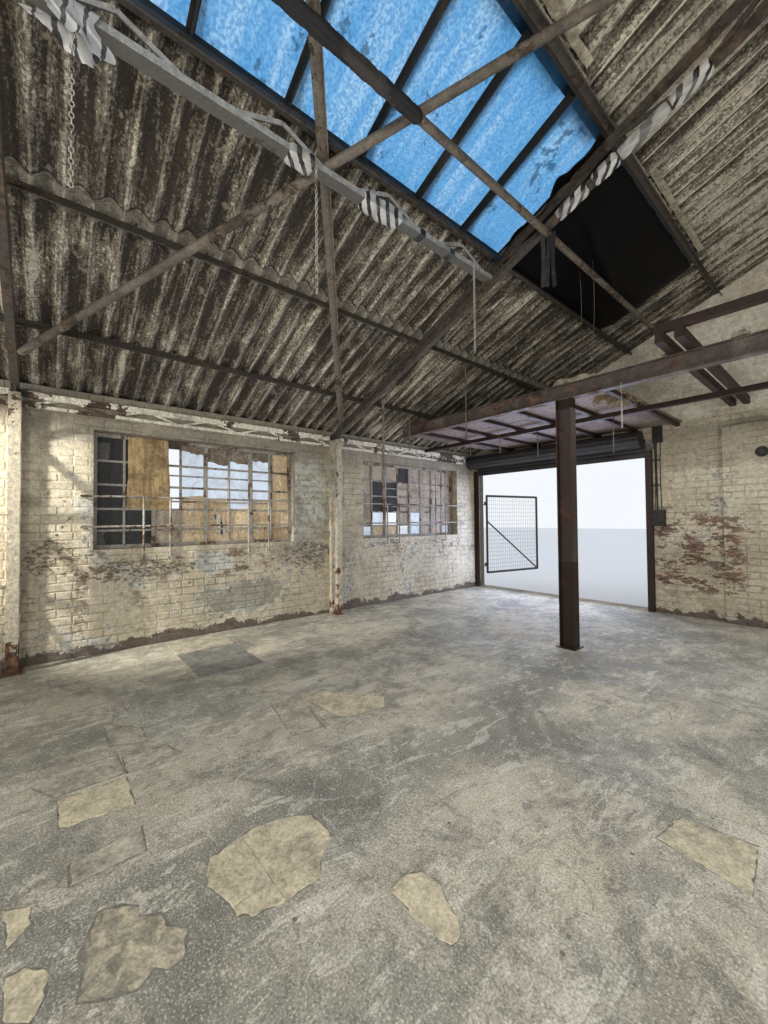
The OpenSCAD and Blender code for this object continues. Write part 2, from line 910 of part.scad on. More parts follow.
// Rods that hang the platform from the purlins, a pipe that hangs from the first rafter, and the chains
module hangers() {
    color("maroon") chains();
    color("maroon")
    both_sides()
    for (x = [purlin_x[3], purlin_x[4]])
        rod([x, beam_y + 38 + hanger_r + fit, beam_z - 200],
            [x, beam_y + 38 + hanger_r + fit, below_roof(x + hanger_r, purlin_t + fit)], hanger_r);
    pipe_x = half - 1087;
    color("maroon")
    rod([pipe_x, rafter_y[0], floor_t + 1010],
        [pipe_x, rafter_y[0], lower_z(pipe_x + 14) - chord_d / cos(pitch) - fit], 14);
}

module control_box() {
    color("black")
    translate([door_x - 208, front_in + fit, floor_t + 1106]) cube([127, 92, 207]);
}

hinge_heights = [330, 1480];
eye_h = 44;
bracket_h = 16;

module gate_hinges() {
    color("dimgray")
    for (x = [pin_west, pin_east])
        for (h = hinge_heights)
            translate([x, front_out - gate_off, floor_t + h]) {
                cylinder(r = pin_r, h = bracket_h + eye_h + 12);
                cylinder(r = pin_r + 7, h = bracket_h);
                translate([-12, 0, 0]) cube([24, gate_off - fit, bracket_h]);
                translate([-30, gate_off - 10, -40]) cube([60, 10 - fit, 96]);
            }
}

// A gate leaf about its hinge line, lying along +X
module gate_leaf() {
    x1 = leaf_set;
    x2 = leaf_len - gate_r;
    z1 = floor_t + gate_foot + gate_r;
    z2 = floor_t + gate_top - gate_r;
    union() {
        for (x = [x1, x2]) rod([x, 0, z1], [x, 0, z2], gate_r);
        for (z = [z1, z2]) rod([x1, 0, z], [x2, 0, z], gate_r);
        for (x = [x1, x2])
            for (z = [z1, z2])
                translate([x, 0, z]) sphere(r = gate_r);
        rod([x1, 0, floor_t + 1184], [x2, 0, z1], gate_r - 7);
        for (h = hinge_heights)
            translate([0, 0, floor_t + h + bracket_h + fit])
            difference() {
                union() {
                    cylinder(r = pin_r + 8, h = eye_h);
                    translate([0, -5, 0]) cube([x1, 10, eye_h]);
                }
                translate([0, 0, -1]) cylinder(r = pin_r + 0.5, h = eye_h + 2);
            }
    }
}

module east_gate() {
    color("darkslategray")
    translate([pin_east, front_out - gate_off, 0])
    rotate([0, 0, 180 + gate_open])
    gate_leaf();
}

module west_gate() {
    color("darkslategray")
    translate([pin_west, front_out - gate_off, 0])
    rotate([0, 0, -gate_open])
    gate_leaf();
}

floor_slab();
east_wall();
west_wall();
front_wall();
door_head_wall();
rear_wall();
east_stanchions();
west_stanchions();
east_rafters();
west_rafters();
east_purlins();
west_purlins();
lattice_purlins();
roof_tubes();
east_eaves_beams();
west_eaves_beams();
east_lower_sheets();
west_lower_sheets();
east_middle_sheets();
west_middle_sheets();
east_upper_sheets();
west_upper_sheets();
end_sheets();
ridge_cap();
gutters();
light_curbs();
glazing_bars();
roof_glass();
black_sheeting();
window_frames();
window_glass();
guard_bars();
roller_shutter();
shutter_guides();
door_lintel();
platform_posts();
main_beam();
cross_beams();
joists();
ceiling_boards();
hangers();
control_box();
gate_hinges();
east_gate();
west_gate();
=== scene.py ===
import json
import math
import bpy
import numpy as np
from mathutils import Matrix, Vector


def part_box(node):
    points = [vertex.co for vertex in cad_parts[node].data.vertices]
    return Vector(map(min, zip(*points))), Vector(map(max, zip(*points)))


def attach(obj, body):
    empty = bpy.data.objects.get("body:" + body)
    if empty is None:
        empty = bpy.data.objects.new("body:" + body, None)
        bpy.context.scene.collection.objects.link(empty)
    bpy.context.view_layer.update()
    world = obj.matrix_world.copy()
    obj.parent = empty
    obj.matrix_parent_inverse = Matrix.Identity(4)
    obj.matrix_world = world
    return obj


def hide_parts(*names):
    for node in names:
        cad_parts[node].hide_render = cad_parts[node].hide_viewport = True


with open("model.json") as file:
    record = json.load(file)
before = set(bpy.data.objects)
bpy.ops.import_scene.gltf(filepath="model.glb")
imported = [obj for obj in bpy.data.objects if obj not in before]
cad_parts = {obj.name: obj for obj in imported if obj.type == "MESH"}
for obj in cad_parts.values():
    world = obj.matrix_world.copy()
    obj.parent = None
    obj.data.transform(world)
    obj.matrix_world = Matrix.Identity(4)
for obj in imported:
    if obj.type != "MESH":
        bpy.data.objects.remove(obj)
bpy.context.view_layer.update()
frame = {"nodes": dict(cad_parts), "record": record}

# Looks of the workshop in metres, in the CAD model's frame: -Y is the gable with the doorway, +X the east side
nodes = frame["nodes"]
draws = np.random.default_rng(11)

slabLow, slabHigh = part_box("floor_slab")
hall = {
    "half": slabHigh.x,
    "floor": slabHigh.z,
    "frontOut": slabLow.y,
    "rearIn": slabHigh.y,
    "wall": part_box("east_wall")[1].x - slabHigh.x,
    "bays": 5,
    "eaves": 2.4,
    "pitch": math.radians(22.5),
}
half, floorTop, wallT = hall["half"], hall["floor"], hall["wall"]
frontOut, rearIn = hall["frontOut"], hall["rearIn"]
frontIn, rearOut = frontOut + wallT, rearIn + wallT
middleY = (frontIn + rearIn) / 2
bay = (rearIn - frontIn) / hall["bays"]
cosP, sinP, slope = math.cos(hall["pitch"]), math.sin(hall["pitch"]), math.tan(hall["pitch"])
fit = 0.0003  # the gap between pieces that rest on each other


def roofZ(x):
    # Height of the plane that carries the sheets: eaves height plus the rise from the wall
    return floorTop + hall["eaves"] + (half - np.abs(x)) * slope


# Mesh tools

def addPiece(name, mesh, material, body="root", smooth=False, tone=None, uv=None, replaced=(), bevel=0):
    # Points and face arrays go into a mesh as whole arrays; tone is a value and uv a pair for each point
    points, faces = mesh
    faces = [np.asarray(f, np.int32) for f in faces if len(f)]
    loops = np.concatenate([f.ravel() for f in faces])
    sizes = np.concatenate([np.full(len(f), f.shape[1]) for f in faces])
    data = bpy.data.meshes.new(name)
    data.vertices.add(len(points))
    data.vertices.foreach_set("co", np.asarray(points, np.float32).ravel())
    data.loops.add(len(loops))
    data.loops.foreach_set("vertex_index", loops)
    data.polygons.add(len(sizes))
    data.polygons.foreach_set("loop_start", np.concatenate([[0], np.cumsum(sizes)[:-1]]).astype(np.int32))
    data.polygons.foreach_set("use_smooth", np.full(len(sizes), smooth))
    if tone is not None:
        data.attributes.new("tone", "FLOAT", "POINT").data.foreach_set("value", np.asarray(tone, np.float32))
    if uv is not None:
        layer = data.uv_layers.new(name="lay")
        layer.data.foreach_set("uv", np.asarray(uv, np.float32)[loops].ravel())
    data.update(calc_edges=True)
    data.validate()
    data.materials.append(material)
    piece = bpy.data.objects.new(name, data)
    bpy.context.scene.collection.objects.link(piece)
    if bevel:
        edge = piece.modifiers.new("edge", "BEVEL")
        edge.width, edge.segments, edge.limit_method = bevel, 1, "ANGLE"
    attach(piece, body)
    if replaced:
        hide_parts(*replaced)
    return piece


def join(parts):
    # Stacks meshes: the face numbers of each are raised by the number of points before it
    points, faces, base = [], [], 0
    for p, fs in parts:
        points.append(np.asarray(p, float))
        faces += [np.asarray(f) + base for f in fs]
        base += len(p)
    return np.concatenate(points), faces


def mirrored(mesh):
    # The same mesh with x turned over and its faces reversed, so that they still point outwards
    points, faces = mesh
    return points * [-1, 1, 1], [np.asarray(f)[:, ::-1] for f in faces]


def bothSides(mesh):
    # A mesh of the east side and its mirror image on the west side
    return join([mesh, mirrored(mesh)])


def thicken(piece, thick):
    # Gives a sheet its thickness on the side that its faces look to
    skin = piece.modifiers.new("thickness", "SOLIDIFY")
    skin.thickness, skin.offset = thick, 1.0


def prisms(profile, starts, ends, up=(0, 0, 1)):
    # Carries a closed outline (right, up) from start to end: point = place + right * px + up * py
    starts, ends, profile = (np.atleast_2d(np.asarray(v, float)) for v in (starts, ends, profile))
    along = ends - starts
    along /= np.linalg.norm(along, axis=1, keepdims=True)
    right = np.cross(along, np.broadcast_to(np.asarray(up, float), along.shape))
    right /= np.linalg.norm(right, axis=1, keepdims=True)
    upward = np.cross(right, along)
    ring = profile[None, :, :1] * right[:, None] + profile[None, :, 1:] * upward[:, None]
    points = np.stack([starts[:, None] + ring, ends[:, None] + ring], axis=1)
    n, k = len(starts), len(profile)
    base = (np.arange(n) * 2 * k)[:, None]
    i = np.arange(k)
    j = (i + 1) % k
    sides = (base[:, :, None] + np.stack([i, i + k, j + k, j], axis=1)).reshape(-1, 4)
    return points.reshape(-1, 3), [sides, base + i, base + 2 * k - 1 - i]


def ringOutline(radius, sides=12):
    # Outline of a circle: cosine and sine of equal angles
    a = np.arange(sides) * 2 * np.pi / sides
    return np.stack([radius * np.cos(a), radius * np.sin(a)], axis=1)


def pipe(path, radius, sides=8, closed=False, up=(0.02, 0.03, 1)):
    # A round tube along a path: a ring of cosine and sine at each point, square to the run there
    path = np.asarray(path, float)
    run = np.roll(path, -1, 0) - np.roll(path, 1, 0) if closed else np.gradient(path, axis=0)
    run /= np.linalg.norm(run, axis=1, keepdims=True)
    right = np.cross(run, np.asarray(up, float))
    right /= np.linalg.norm(right, axis=1, keepdims=True)
    upward = np.cross(right, run)
    a = np.arange(sides) * 2 * np.pi / sides
    radius = np.broadcast_to(np.asarray(radius, float), (len(path),))[:, None, None]
    ring = np.cos(a)[None, :, None] * right[:, None] + np.sin(a)[None, :, None] * upward[:, None]
    rings = path[:, None] + radius * ring
    quads = gridFaces(len(path), sides, closed, True)
    caps = [] if closed else [np.arange(sides)[None], (len(path) * sides - 1 - np.arange(sides))[None]]
    return rings.reshape(-1, 3), [quads] + caps


def grid(rows, columns):
    # Two arrays with a value for every pair of a row and a column
    return np.meshgrid(rows, columns, indexing="ij")


def gridFaces(rows, columns, closedRows=False, closedColumns=False):
    # Quads between neighbours of a grid of points
    lastRow, lastColumn = rows if closedRows else rows - 1, columns if closedColumns else columns - 1
    i, j = grid(np.arange(lastRow), np.arange(lastColumn))
    i2, j2 = (i + 1) % rows, (j + 1) % columns
    here, ahead = i * columns, i2 * columns
    return np.stack([here + j, ahead + j, ahead + j2, here + j2], axis=-1).reshape(-1, 4)


def boxes(lows, highs):
    # One box for each pair of corners
    lows, highs = np.asarray(lows, float), np.asarray(highs, float)
    square = np.array([[0, 0], [1, 0], [1, 1], [0, 1]])
    corner = np.array([[*place, z] for z in (0, 1) for place in square])
    sides = np.array([[3, 2, 1, 0], [4, 5, 6, 7], [0, 1, 5, 4], [1, 2, 6, 5], [2, 3, 7, 6], [3, 0, 4, 7]])
    points = lows[:, None] + (highs - lows)[:, None] * corner
    return points.reshape(-1, 3), [(np.arange(len(lows))[:, None, None] * 8 + sides).reshape(-1, 4)]


def ragged(outline, step, amount):
    # Points at every step along an outline, each moved at random, as an edge that is worn or torn
    outline = np.asarray(outline, float)
    points = []
    for a, b in zip(outline, np.roll(outline, -1, 0)):
        n = max(1, int(np.linalg.norm(b - a) / step))
        points.append(a + (b - a) * (np.arange(n)[:, None] / n))
    points = np.concatenate(points)
    shake = draws.normal(0, amount, points.shape)
    return points + 0.6 * shake + 0.4 * np.roll(shake, 1, 0)


def plate(outline, origin, across, upward, thick):
    # A flat plate drawn on two directions, with its thickness along their cross product
    outline, origin, across, upward = (np.asarray(v, float) for v in (outline, origin, across, upward))
    base = origin + outline[:, :1] * across + outline[:, 1:] * upward
    n = len(outline)
    i = np.arange(n)
    j = (i + 1) % n
    faces = [np.stack([i, j, j + n, i + n], 1), (n - 1 - i)[None], (i + n)[None]]
    return np.concatenate([base, base + thick * np.cross(across, upward)]), faces


def mesa(outline, height, edge, base):
    # A low raised patch on the floor: its top ring is drawn in towards the middle by the width of the edge
    outline = np.asarray(outline, float)
    ahead = np.roll(outline, -1, 0)
    if np.sum(outline[:, 0] * ahead[:, 1] - outline[:, 1] * ahead[:, 0]) < 0:
        outline = outline[::-1]
    inward = outline.mean(0) - outline
    ring = outline + inward * (edge / np.linalg.norm(inward, axis=1, keepdims=True))
    n = len(outline)
    i = np.arange(n)
    j = (i + 1) % n
    level = lambda p, z: np.column_stack([p, np.full(n, z)])
    faces = [np.stack([i, j, j + n, i + n], 1), (i + n)[None]]
    return np.concatenate([level(outline, base - 0.001), level(ring, base + height)]), faces


def perPiece(mesh, count):
    # One random value for each of count equal parts of a mesh, repeated for its points
    return np.repeat(draws.random(count), len(mesh[0]) // count)


def atWindows(points, faces, where=None):
    # Puts a mesh drawn on a window (across, depth, height) into every opening or the ones named
    out = []
    for k, (kind, place) in enumerate(windowPlaces):
        if where is not None and k not in where:
            continue
        a, d, h = points[:, 0], points[:, 1], points[:, 2]
        if kind == "rear":
            out.append((np.stack([place + a, rearOut - windowBack + d, h], axis=1), faces))
        else:
            side = 1 if kind == "east" else -1
            turned = np.stack([side * (half + wallT - windowBack + d), place - side * a, h], axis=1)
            out.append((turned, faces))
    return join(out)


sides = (("east", 1), ("west", -1))
windowBack = 0.06  # how far the windows stand back from the outside
windowPlaces = [(name, frontIn + (i + 0.5) * bay) for name, _ in sides for i in range(hall["bays"])]
windowPlaces += [("rear", -half / 2), ("rear", half / 2)]

# Purlins and the sheets on them: places along X from the ridge, of the tops and feet of the bands
purlins = {"first": 0.095, "gap": 0.95, "count": 5}
sheets = {
    "wave": 0.146, "depth": 0.048, "thick": 0.006, "cover": 7, "steps": 12, "rows": 6, "sag": 0.003,
    "lapLength": 0.14, "eavesOver": 0.085, "middlePast": 0.018, "endLap": 0.1, "endPast": 0.075,
    "bearing": 0.004, "ridgeGap": 0.015, "curbGap": 0.0385,
}
capLow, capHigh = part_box("ridge_cap")
firstY = capLow.y
waves = round((capHigh.y - capLow.y) / sheets["wave"])
purlinX = [purlins["first"] + i * purlins["gap"] for i in range(purlins["count"])]
eavesX = half + wallT + sheets["eavesOver"]
lowerTop, middleLow = (purlinX[3] + way * sheets["lapLength"] / 2 for way in (-1, 1))
middleTop = purlinX[2] + sheets["middlePast"]
endLow, endTop = middleTop + sheets["endLap"], purlinX[1] - sheets["endPast"]
upperLow, upperTop = purlinX[1] - sheets["bearing"], sheets["ridgeGap"]


# Shader tools: every new node goes into the tree that is open

desk = {"tree": None}


class Value:
    # What a shader node gives; a sum with it is written as usual and becomes a Math node
    def __init__(self, socket):
        self.socket = socket

    def __add__(self, other):
        return calc("ADD", self, other)

    def __sub__(self, other):
        return calc("SUBTRACT", self, other)

    def __rsub__(self, other):
        return calc("SUBTRACT", other, self)

    def __mul__(self, other):
        return calc("MULTIPLY", self, other)

    def __truediv__(self, other):
        return calc("DIVIDE", self, other)

    def __lt__(self, other):
        return calc("LESS_THAN", self, other)

    def __gt__(self, other):
        return calc("GREATER_THAN", self, other)

    def __abs__(self):
        return calc("ABSOLUTE", self)


def fill(socket, value):
    # A plain value goes into a socket, and what another node gives is linked to it
    if isinstance(value, Value):
        desk["tree"].links.new(value.socket, socket)
    else:
        socket.default_value = (*value, 1.0) if socket.type == "RGBA" and len(value) == 3 else value


def put(kind, props=None, **inputs):
    # Adds a shader node; inputs go by name, or by number as i0, i1
    made = desk["tree"].nodes.new("ShaderNode" + kind)
    for key, value in (props or {}).items():
        setattr(made, key, value)
    for key, value in inputs.items():
        fill(made.inputs[int(key[1:]) if key[1:].isdigit() else key], value)
    return made


def take(kind, out, props=None, **inputs):
    # One output of a new node
    return Value(put(kind, props, **inputs).outputs[out])


def calc(operation, *values):
    # One Math node with its values in order
    return take("Math", 0, {"operation": operation}, **{f"i{k}": v for k, v in enumerate(values)})


def larger(a, b):
    # The larger of two values at each place
    return calc("MAXIMUM", a, b)


def axes(vector):
    # The three parts of a vector
    return [Value(out) for out in put("SeparateXYZ", Vector=vector).outputs]


def noise(vector, scale, detail=6.0, rough=0.6, warp=0.0):
    # Octaves finer than about 4 mm are left out: detail = log2(260 / scale) at most
    if not isinstance(scale, Value):
        detail = min(detail, max(1.0, math.log2(260.0 / scale)))
    return take("TexNoise", "Fac", Vector=vector, Scale=scale, Detail=detail, Roughness=rough, Distortion=warp)


def rise(value, low, high):
    # Smooth step from 0 at low to 1 at high
    return take("MapRange", 0, {"interpolation_type": "SMOOTHSTEP"}, i0=value, i1=low, i2=high)


def span(value, a, b, c, d):
    # 0 below a, 1 from b to c, and 0 again above d
    return rise(value, a, b) * rise(value, d, c)


def blend(factor, a, b):
    # Colour a where the factor is 0 and colour b where it is 1
    return take("Mix", 2, {"data_type": "RGBA"}, i0=factor, i6=a, i7=b)


def stretch(vector, scale=(1, 1, 1), turn=(0, 0, 0), move=(0, 0, 0)):
    # The vector scaled, turned and moved, in that order
    return take("Mapping", 0, Vector=vector, Location=move, Rotation=turn, Scale=scale)


def group(name, inputs, outputs, build):
    # A shader node group with named sockets; build gets its inputs and gives its outputs
    desk["tree"] = tree = bpy.data.node_groups.new(name, "ShaderNodeTree")
    kinds = {"v": "NodeSocketVector", "f": "NodeSocketFloat", "c": "NodeSocketColor"}
    for key, (kind, default) in inputs.items():
        socket = tree.interface.new_socket(name=key, in_out="INPUT", socket_type=kinds[kind])
        if default is not None:
            socket.default_value = default
    for key, kind in outputs.items():
        tree.interface.new_socket(name=key, in_out="OUTPUT", socket_type=kinds[kind])
    entry, end = tree.nodes.new("NodeGroupInput"), tree.nodes.new("NodeGroupOutput")
    for key, value in build({key: Value(entry.outputs[key]) for key in inputs}).items():
        fill(end.inputs[key], value)
    return tree


def use(shared, **inputs):
    # Places a shared group in a material with that material's own values
    made = desk["tree"].nodes.new("ShaderNodeGroup")
    made.node_tree = shared
    for key, value in inputs.items():
        fill(made.inputs[key], value)
    return {out.name: Value(out) for out in made.outputs}


def buildFlakes(i):
    # Bare where a coarse and a fine noise add up to more than Level; Rim is the curled edge of the coat
    coarse = noise(i["Vector"], i["Scale"] * 0.22, 2.0, 0.55)
    fine = noise(i["Vector"], i["Scale"], 6.0, 0.68, 0.3)
    both = coarse * 0.5 + fine * 0.5
    bare = rise(both, i["Level"], i["Level"] + 0.012)
    near = rise(both, i["Level"] - 0.03, i["Level"])
    return {"Bare": bare, "Rim": near - bare}


def buildMottle(i):
    # One wide soft noise, as of damp and dirt
    wide = noise(i["Vector"], i["Scale"], 4.0, 0.62, 0.6)
    return {"Mask": rise(wide, i["Low"], i["High"])}


def buildRuns(i):
    # Long runs down a surface: noise that is squeezed across and drawn out along
    parts = take("CombineXYZ", 0, X=i["Across"], Y=i["Along"], Z=1.0)
    scaled = take("VectorMath", 0, {"operation": "MULTIPLY"}, i0=i["Vector"], i1=parts)
    return {"Mask": rise(noise(scaled, 1.0, 4.0, 0.66, 0.25), i["Low"], i["High"])}


def buildRust(i):
    # Rust in two browns, mixed by a noise
    mix = rise(noise(i["Vector"], i["Scale"], 4.0, 0.7, 0.4), 0.35, 0.66)
    return {"Color": blend(mix, i["Dark"], i["Light"])}


def buildSpecks(i):
    # Small round marks: cells whose centre is nearer than Size
    cells = take("TexVoronoi", "Distance", {"feature": "F1"}, Vector=i["Vector"], Scale=i["Scale"],
                 Randomness=1.0)
    gate = rise(noise(i["Vector"], i["Scale"] * 0.35, 1.0), 0.5, 0.56)
    near = rise(cells, i["Size"], i["Size"] * 0.6)
    return {"Mask": near * gate}


def buildGrain(i):
    # Light and dark grain: 1 + Amount * (coarse noise + fine noise - 1), never below 0.12
    coarse = noise(i["Vector"], i["Scale"], 3.0, 0.7)
    fine = noise(i["Vector"], i["Scale"] * 5.3, 2.0, 0.75)
    both = coarse + fine - 1.0
    return {"Factor": larger(both * i["Amount"] + 1.0, 0.12)}


vector, number = ("v", None), lambda value: ("f", value)
brown, tan = ("c", (0.05, 0.03, 0.02, 1)), ("c", (0.2, 0.1, 0.05, 1))
bands = {"Low": number(0.45), "High": number(0.6)}
flakeIns = {"Vector": vector, "Scale": number(6.0), "Level": number(0.55)}
flakes = group("flakes", flakeIns, {"Bare": "f", "Rim": "f"}, buildFlakes)
mottle = group("mottle", {"Vector": vector, "Scale": number(2.0), **bands}, {"Mask": "f"}, buildMottle)
runIns = {"Vector": vector, "Across": number(14.0), "Along": number(1.2), **bands}
runs = group("runs", runIns, {"Mask": "f"}, buildRuns)
rustIns = {"Vector": vector, "Scale": number(9.0), "Dark": brown, "Light": tan}
rust = group("rust", rustIns, {"Color": "c"}, buildRust)
speckIns = {"Vector": vector, "Scale": number(20.0), "Size": number(0.2)}
specks = group("specks", speckIns, {"Mask": "f"}, buildSpecks)
grainIns = {"Vector": vector, "Scale": number(20.0), "Amount": number(2.0)}
grain = group("grain", grainIns, {"Factor": "f"}, buildGrain)


def startMaterial(name):
    # A material, the object's own coordinates in it and its Principled shader
    made = bpy.data.materials.new(name)
    made.use_nodes = True
    desk["tree"] = made.node_tree
    made.node_tree.nodes.clear()
    shader = put("BsdfPrincipled")
    put("OutputMaterial", i0=Value(shader.outputs[0]))
    return made, take("TexCoord", "Object"), shader


def finishMaterial(shader, colour, rough, height, bump=0.004, strength=0.6):
    # Links colour and roughness, and turns the height into a bump of that many metres
    fill(shader.inputs["Base Color"], colour)
    fill(shader.inputs["Roughness"], rough)
    fill(shader.inputs["Normal"], take("Bump", 0, Strength=strength, Distance=bump, Height=height))


def grained(colour, where, scale, amount):
    # The colour times the grain factor
    factor = use(grain, Vector=where, Scale=scale, Amount=amount)["Factor"]
    return take("VectorMath", 0, {"operation": "SCALE"}, i0=colour, Scale=factor)


def toneOf():
    # The value that each brick, board or sheet carries on its points
    return take("Attribute", "Fac", {"attribute_name": "tone"})


def oldSteel(name, paint, bare, level=0.56, scale=8.0, dirt=(0.05, 0.045, 0.038), dirtLow=0.46, rustFoot=0.0):
    # Flaking paint over rust with a film of dirt; rustFoot is the height up to which the paint is mostly gone
    made, where, shader = startMaterial(name)
    lift = level
    if rustFoot:
        lift = level - rise(axes(where)[2], rustFoot, rustFoot * 0.3) * 0.14
    coat = use(flakes, Vector=where, Scale=scale, Level=lift)
    iron = use(rust, Vector=where, Scale=scale * 1.6, Dark=bare[0], Light=bare[1])
    film = use(mottle, Vector=where, Scale=3.1, Low=dirtLow, High=dirtLow + 0.22)["Mask"]
    shade = use(mottle, Vector=where, Scale=11.0, Low=0.3, High=0.7)["Mask"]
    top = blend(shade * 0.35, paint, tuple(0.62 * c for c in paint))
    top = blend(coat["Rim"] * 0.5, top, tuple(min(1, 1.25 * c) for c in paint))
    colour = blend(coat["Bare"], top, iron["Color"])
    colour = blend(film * 0.7, colour, dirt)
    colour = grained(colour, where, scale * 3.0, 1.8)
    finishMaterial(shader, colour, coat["Bare"] * 0.25 + 0.62, noise(where, scale * 2.0, 2.0), 0.0012, 0.7)
    return made


def paintedShadeOnDownFaces(made, colour):
    # Painted shade: the side of a bar that looks down is darkened as if in shade; the mask is 1 where the
    # normal points down
    desk["tree"] = made.node_tree
    target = [n for n in made.node_tree.nodes if n.type == "BSDF_PRINCIPLED"][0].inputs["Base Color"]
    before = Value(target.links[0].from_socket)
    down = rise(axes(take("NewGeometry", "Normal"))[2], -0.6, -0.85)
    fill(target, blend(down * 0.9, before, colour))


# Steels: the paint, the dark and the light of the rust, and then what differs from the usual coat
brownRust = ((0.045, 0.024, 0.016), (0.16, 0.075, 0.04))
redRust = ((0.014, 0.008, 0.006), (0.075, 0.032, 0.018))
sootRust = ((0.012, 0.010, 0.009), (0.05, 0.035, 0.025))
creamSteel = oldSteel("flakingCreamSteel", (0.46, 0.41, 0.31), brownRust, 0.572, 9.0, dirtLow=0.52,
                      rustFoot=0.42)
darkSteel = oldSteel("darkRoofSteel", (0.062, 0.052, 0.042), ((0.03, 0.022, 0.018), (0.11, 0.075, 0.05)), 0.53,
                     10.0)
greySteel = oldSteel("greyPipe", (0.19, 0.165, 0.13), ((0.045, 0.032, 0.024), (0.12, 0.082, 0.052)), 0.54, 12.0)
sootyTube = oldSteel("sootyTube", (0.145, 0.12, 0.092), ((0.035, 0.025, 0.019), (0.10, 0.068, 0.043)), 0.54,
                     12.0)
chalkySteel = oldSteel("chalkyAngle", (0.42, 0.425, 0.41), ((0.06, 0.045, 0.035), (0.15, 0.11, 0.08)), 0.585,
                       12.0, dirtLow=0.54)
# Painted shade on the faces of the laced angle that look down
paintedShadeOnDownFaces(chalkySteel, (0.065, 0.058, 0.048))
brightSteel = oldSteel("brightChain", (0.50, 0.48, 0.42), ((0.12, 0.09, 0.07), (0.25, 0.18, 0.12)), 0.58, 30.0,
                       dirtLow=0.58)
redSteel = oldSteel("redBrownSteel", (0.024, 0.0095, 0.0055), redRust, 0.57, 9.0, (0.029, 0.018, 0.0125), 0.54)
beamSteel = oldSteel("dustyBeam", (0.085, 0.062, 0.053), ((0.030, 0.018, 0.014), (0.14, 0.085, 0.060)), 0.53,
                     5.0, (0.17, 0.155, 0.135), 0.48)
frameSteel = oldSteel("windowSteel", (0.33, 0.305, 0.26), ((0.07, 0.04, 0.028), (0.20, 0.12, 0.075)), 0.545,
                      14.0, dirtLow=0.5)
blackSteel = oldSteel("blackCurb", (0.014, 0.014, 0.014), sootRust, 0.58, 9.0, (0.03, 0.027, 0.023), 0.54)
gateSteel = oldSteel("gatePaint", (0.055, 0.058, 0.065), brownRust, 0.58, 16.0, dirtLow=0.56)
shutterSteel = oldSteel("shutterSlats", (0.026, 0.025, 0.027), ((0.012, 0.010, 0.009), (0.04, 0.03, 0.024)),
                        0.6, 6.0, (0.035, 0.031, 0.028), 0.44)
eavesPaint = oldSteel("eavesPaint", (0.74, 0.69, 0.56), ((0.04, 0.03, 0.022), (0.14, 0.09, 0.06)), 0.532, 6.5,
                      dirtLow=0.54)


def brickAndJoints(tone, fine):
    # Each brick is a red by its tone, burnt dark where the fine noise is high; a tone of 0 is a joint
    brick = blend(tone, (0.12, 0.058, 0.040), (0.27, 0.14, 0.095))
    brick = blend(rise(fine, 0.42, 0.7), brick, (0.075, 0.042, 0.03))
    joint = tone < 0.0001
    return blend(joint, brick, (0.16, 0.14, 0.11)), joint


def creamAndWash(where):
    # The newest coat, cream in warm and pale clouds, and the grey wash below it in clouds of its own
    warm = rise(noise(where, 1.1, 3.0, 0.6, 0.8), 0.38, 0.66)
    cream = blend(warm, (0.56, 0.50, 0.375), (0.45, 0.395, 0.28))
    cream = blend(rise(noise(where, 5.0, 9.0, 0.75, 0.4), 0.47, 0.66) * 0.55, cream, (0.32, 0.285, 0.21))
    cream = blend(rise(noise(where, 9.0, 8.0, 0.75), 0.55, 0.68) * 0.6, cream, (0.62, 0.59, 0.51))
    wash = blend(rise(noise(where, 3.4, 7.0, 0.7), 0.42, 0.60), (0.50, 0.51, 0.47), (0.26, 0.26, 0.21))
    wash = blend(rise(noise(where, 16.0, 6.0, 0.7), 0.54, 0.60) * 0.75, wash, (0.12, 0.115, 0.09))
    return cream, wash


def wornPlaces(coats, wash, where, place, torn):
    # Damp and worn places of the east wall beside and below the window, and a dark red-brown upright band, each
    # inside an ellipse
    x, y, z = place

    def spot(cy, cz, ry, rz, edge=2.6):
        # 1 inside an ellipse on the east wall, with an edge that is torn by noise
        dy, dz = (y - cy) / ry, (z - cz) / rz
        reach = calc("SQRT", dy * dy + dz * dz)
        reach = reach + (torn - 0.5) * edge
        return rise(reach, 1.1, 0.85) * (x > half - 0.1)

    grey = larger(spot(-3.62, 1.45, 0.36, 0.75), spot(-2.85, 0.48, 0.55, 0.20) * 0.9)
    coats = blend(grey * 0.7, coats, wash)
    coats = blend(spot(-2.85, 0.46, 0.45, 0.17) * 0.5, coats, (0.20, 0.195, 0.15))
    coats = blend(spot(-2.48, 0.86, 0.20, 0.14) * 0.8, coats, (0.50, 0.52, 0.50))
    # A narrow upright dark red-brown band between the column and the window, broken by noise
    broken = rise(noise(where, 19.0, 7.0, 0.75), 0.42, 0.60)
    coats = blend(spot(-1.30, 0.62, 0.075, 0.36, 2.2) * broken * 0.8, coats, (0.15, 0.09, 0.062))
    scars = larger(spot(-3.65, 0.86, 0.26, 0.20), spot(-1.1, 0.98, 0.22, 0.16))
    scars = larger(spot(-1.78, 0.85, 0.55, 0.10), scars)
    scratch = rise(noise(stretch(where, (1.0, 1.0, 2.0)), 22.0, 8.0, 0.75, 0.4), 0.50, 0.545)
    return blend(scars * scratch * 0.85, coats, (0.085, 0.062, 0.045))


def dirtOnCoats(coats, where, place, band):
    # Specks, rust below the feet of the guard bars, and a dark red-brown line at the foot of the walls
    z = place[2]
    marks = use(specks, Vector=where, Scale=9.0, Size=0.14)["Mask"]
    coats = blend(marks * 0.85, coats, (0.055, 0.035, 0.025))
    drips = use(runs, Vector=where, Across=16.0, Along=2.0, Low=0.56, High=0.70)["Mask"]
    coats = blend(drips * band * 0.75, coats, (0.10, 0.05, 0.032))
    foot = z + (noise(where, 4.0, 5.0, 0.7) - 0.5) * 0.42
    skirt = rise(foot, floorTop + 0.085, floorTop + 0.065)
    return blend(skirt * 0.85, coats, (0.062, 0.040, 0.032))


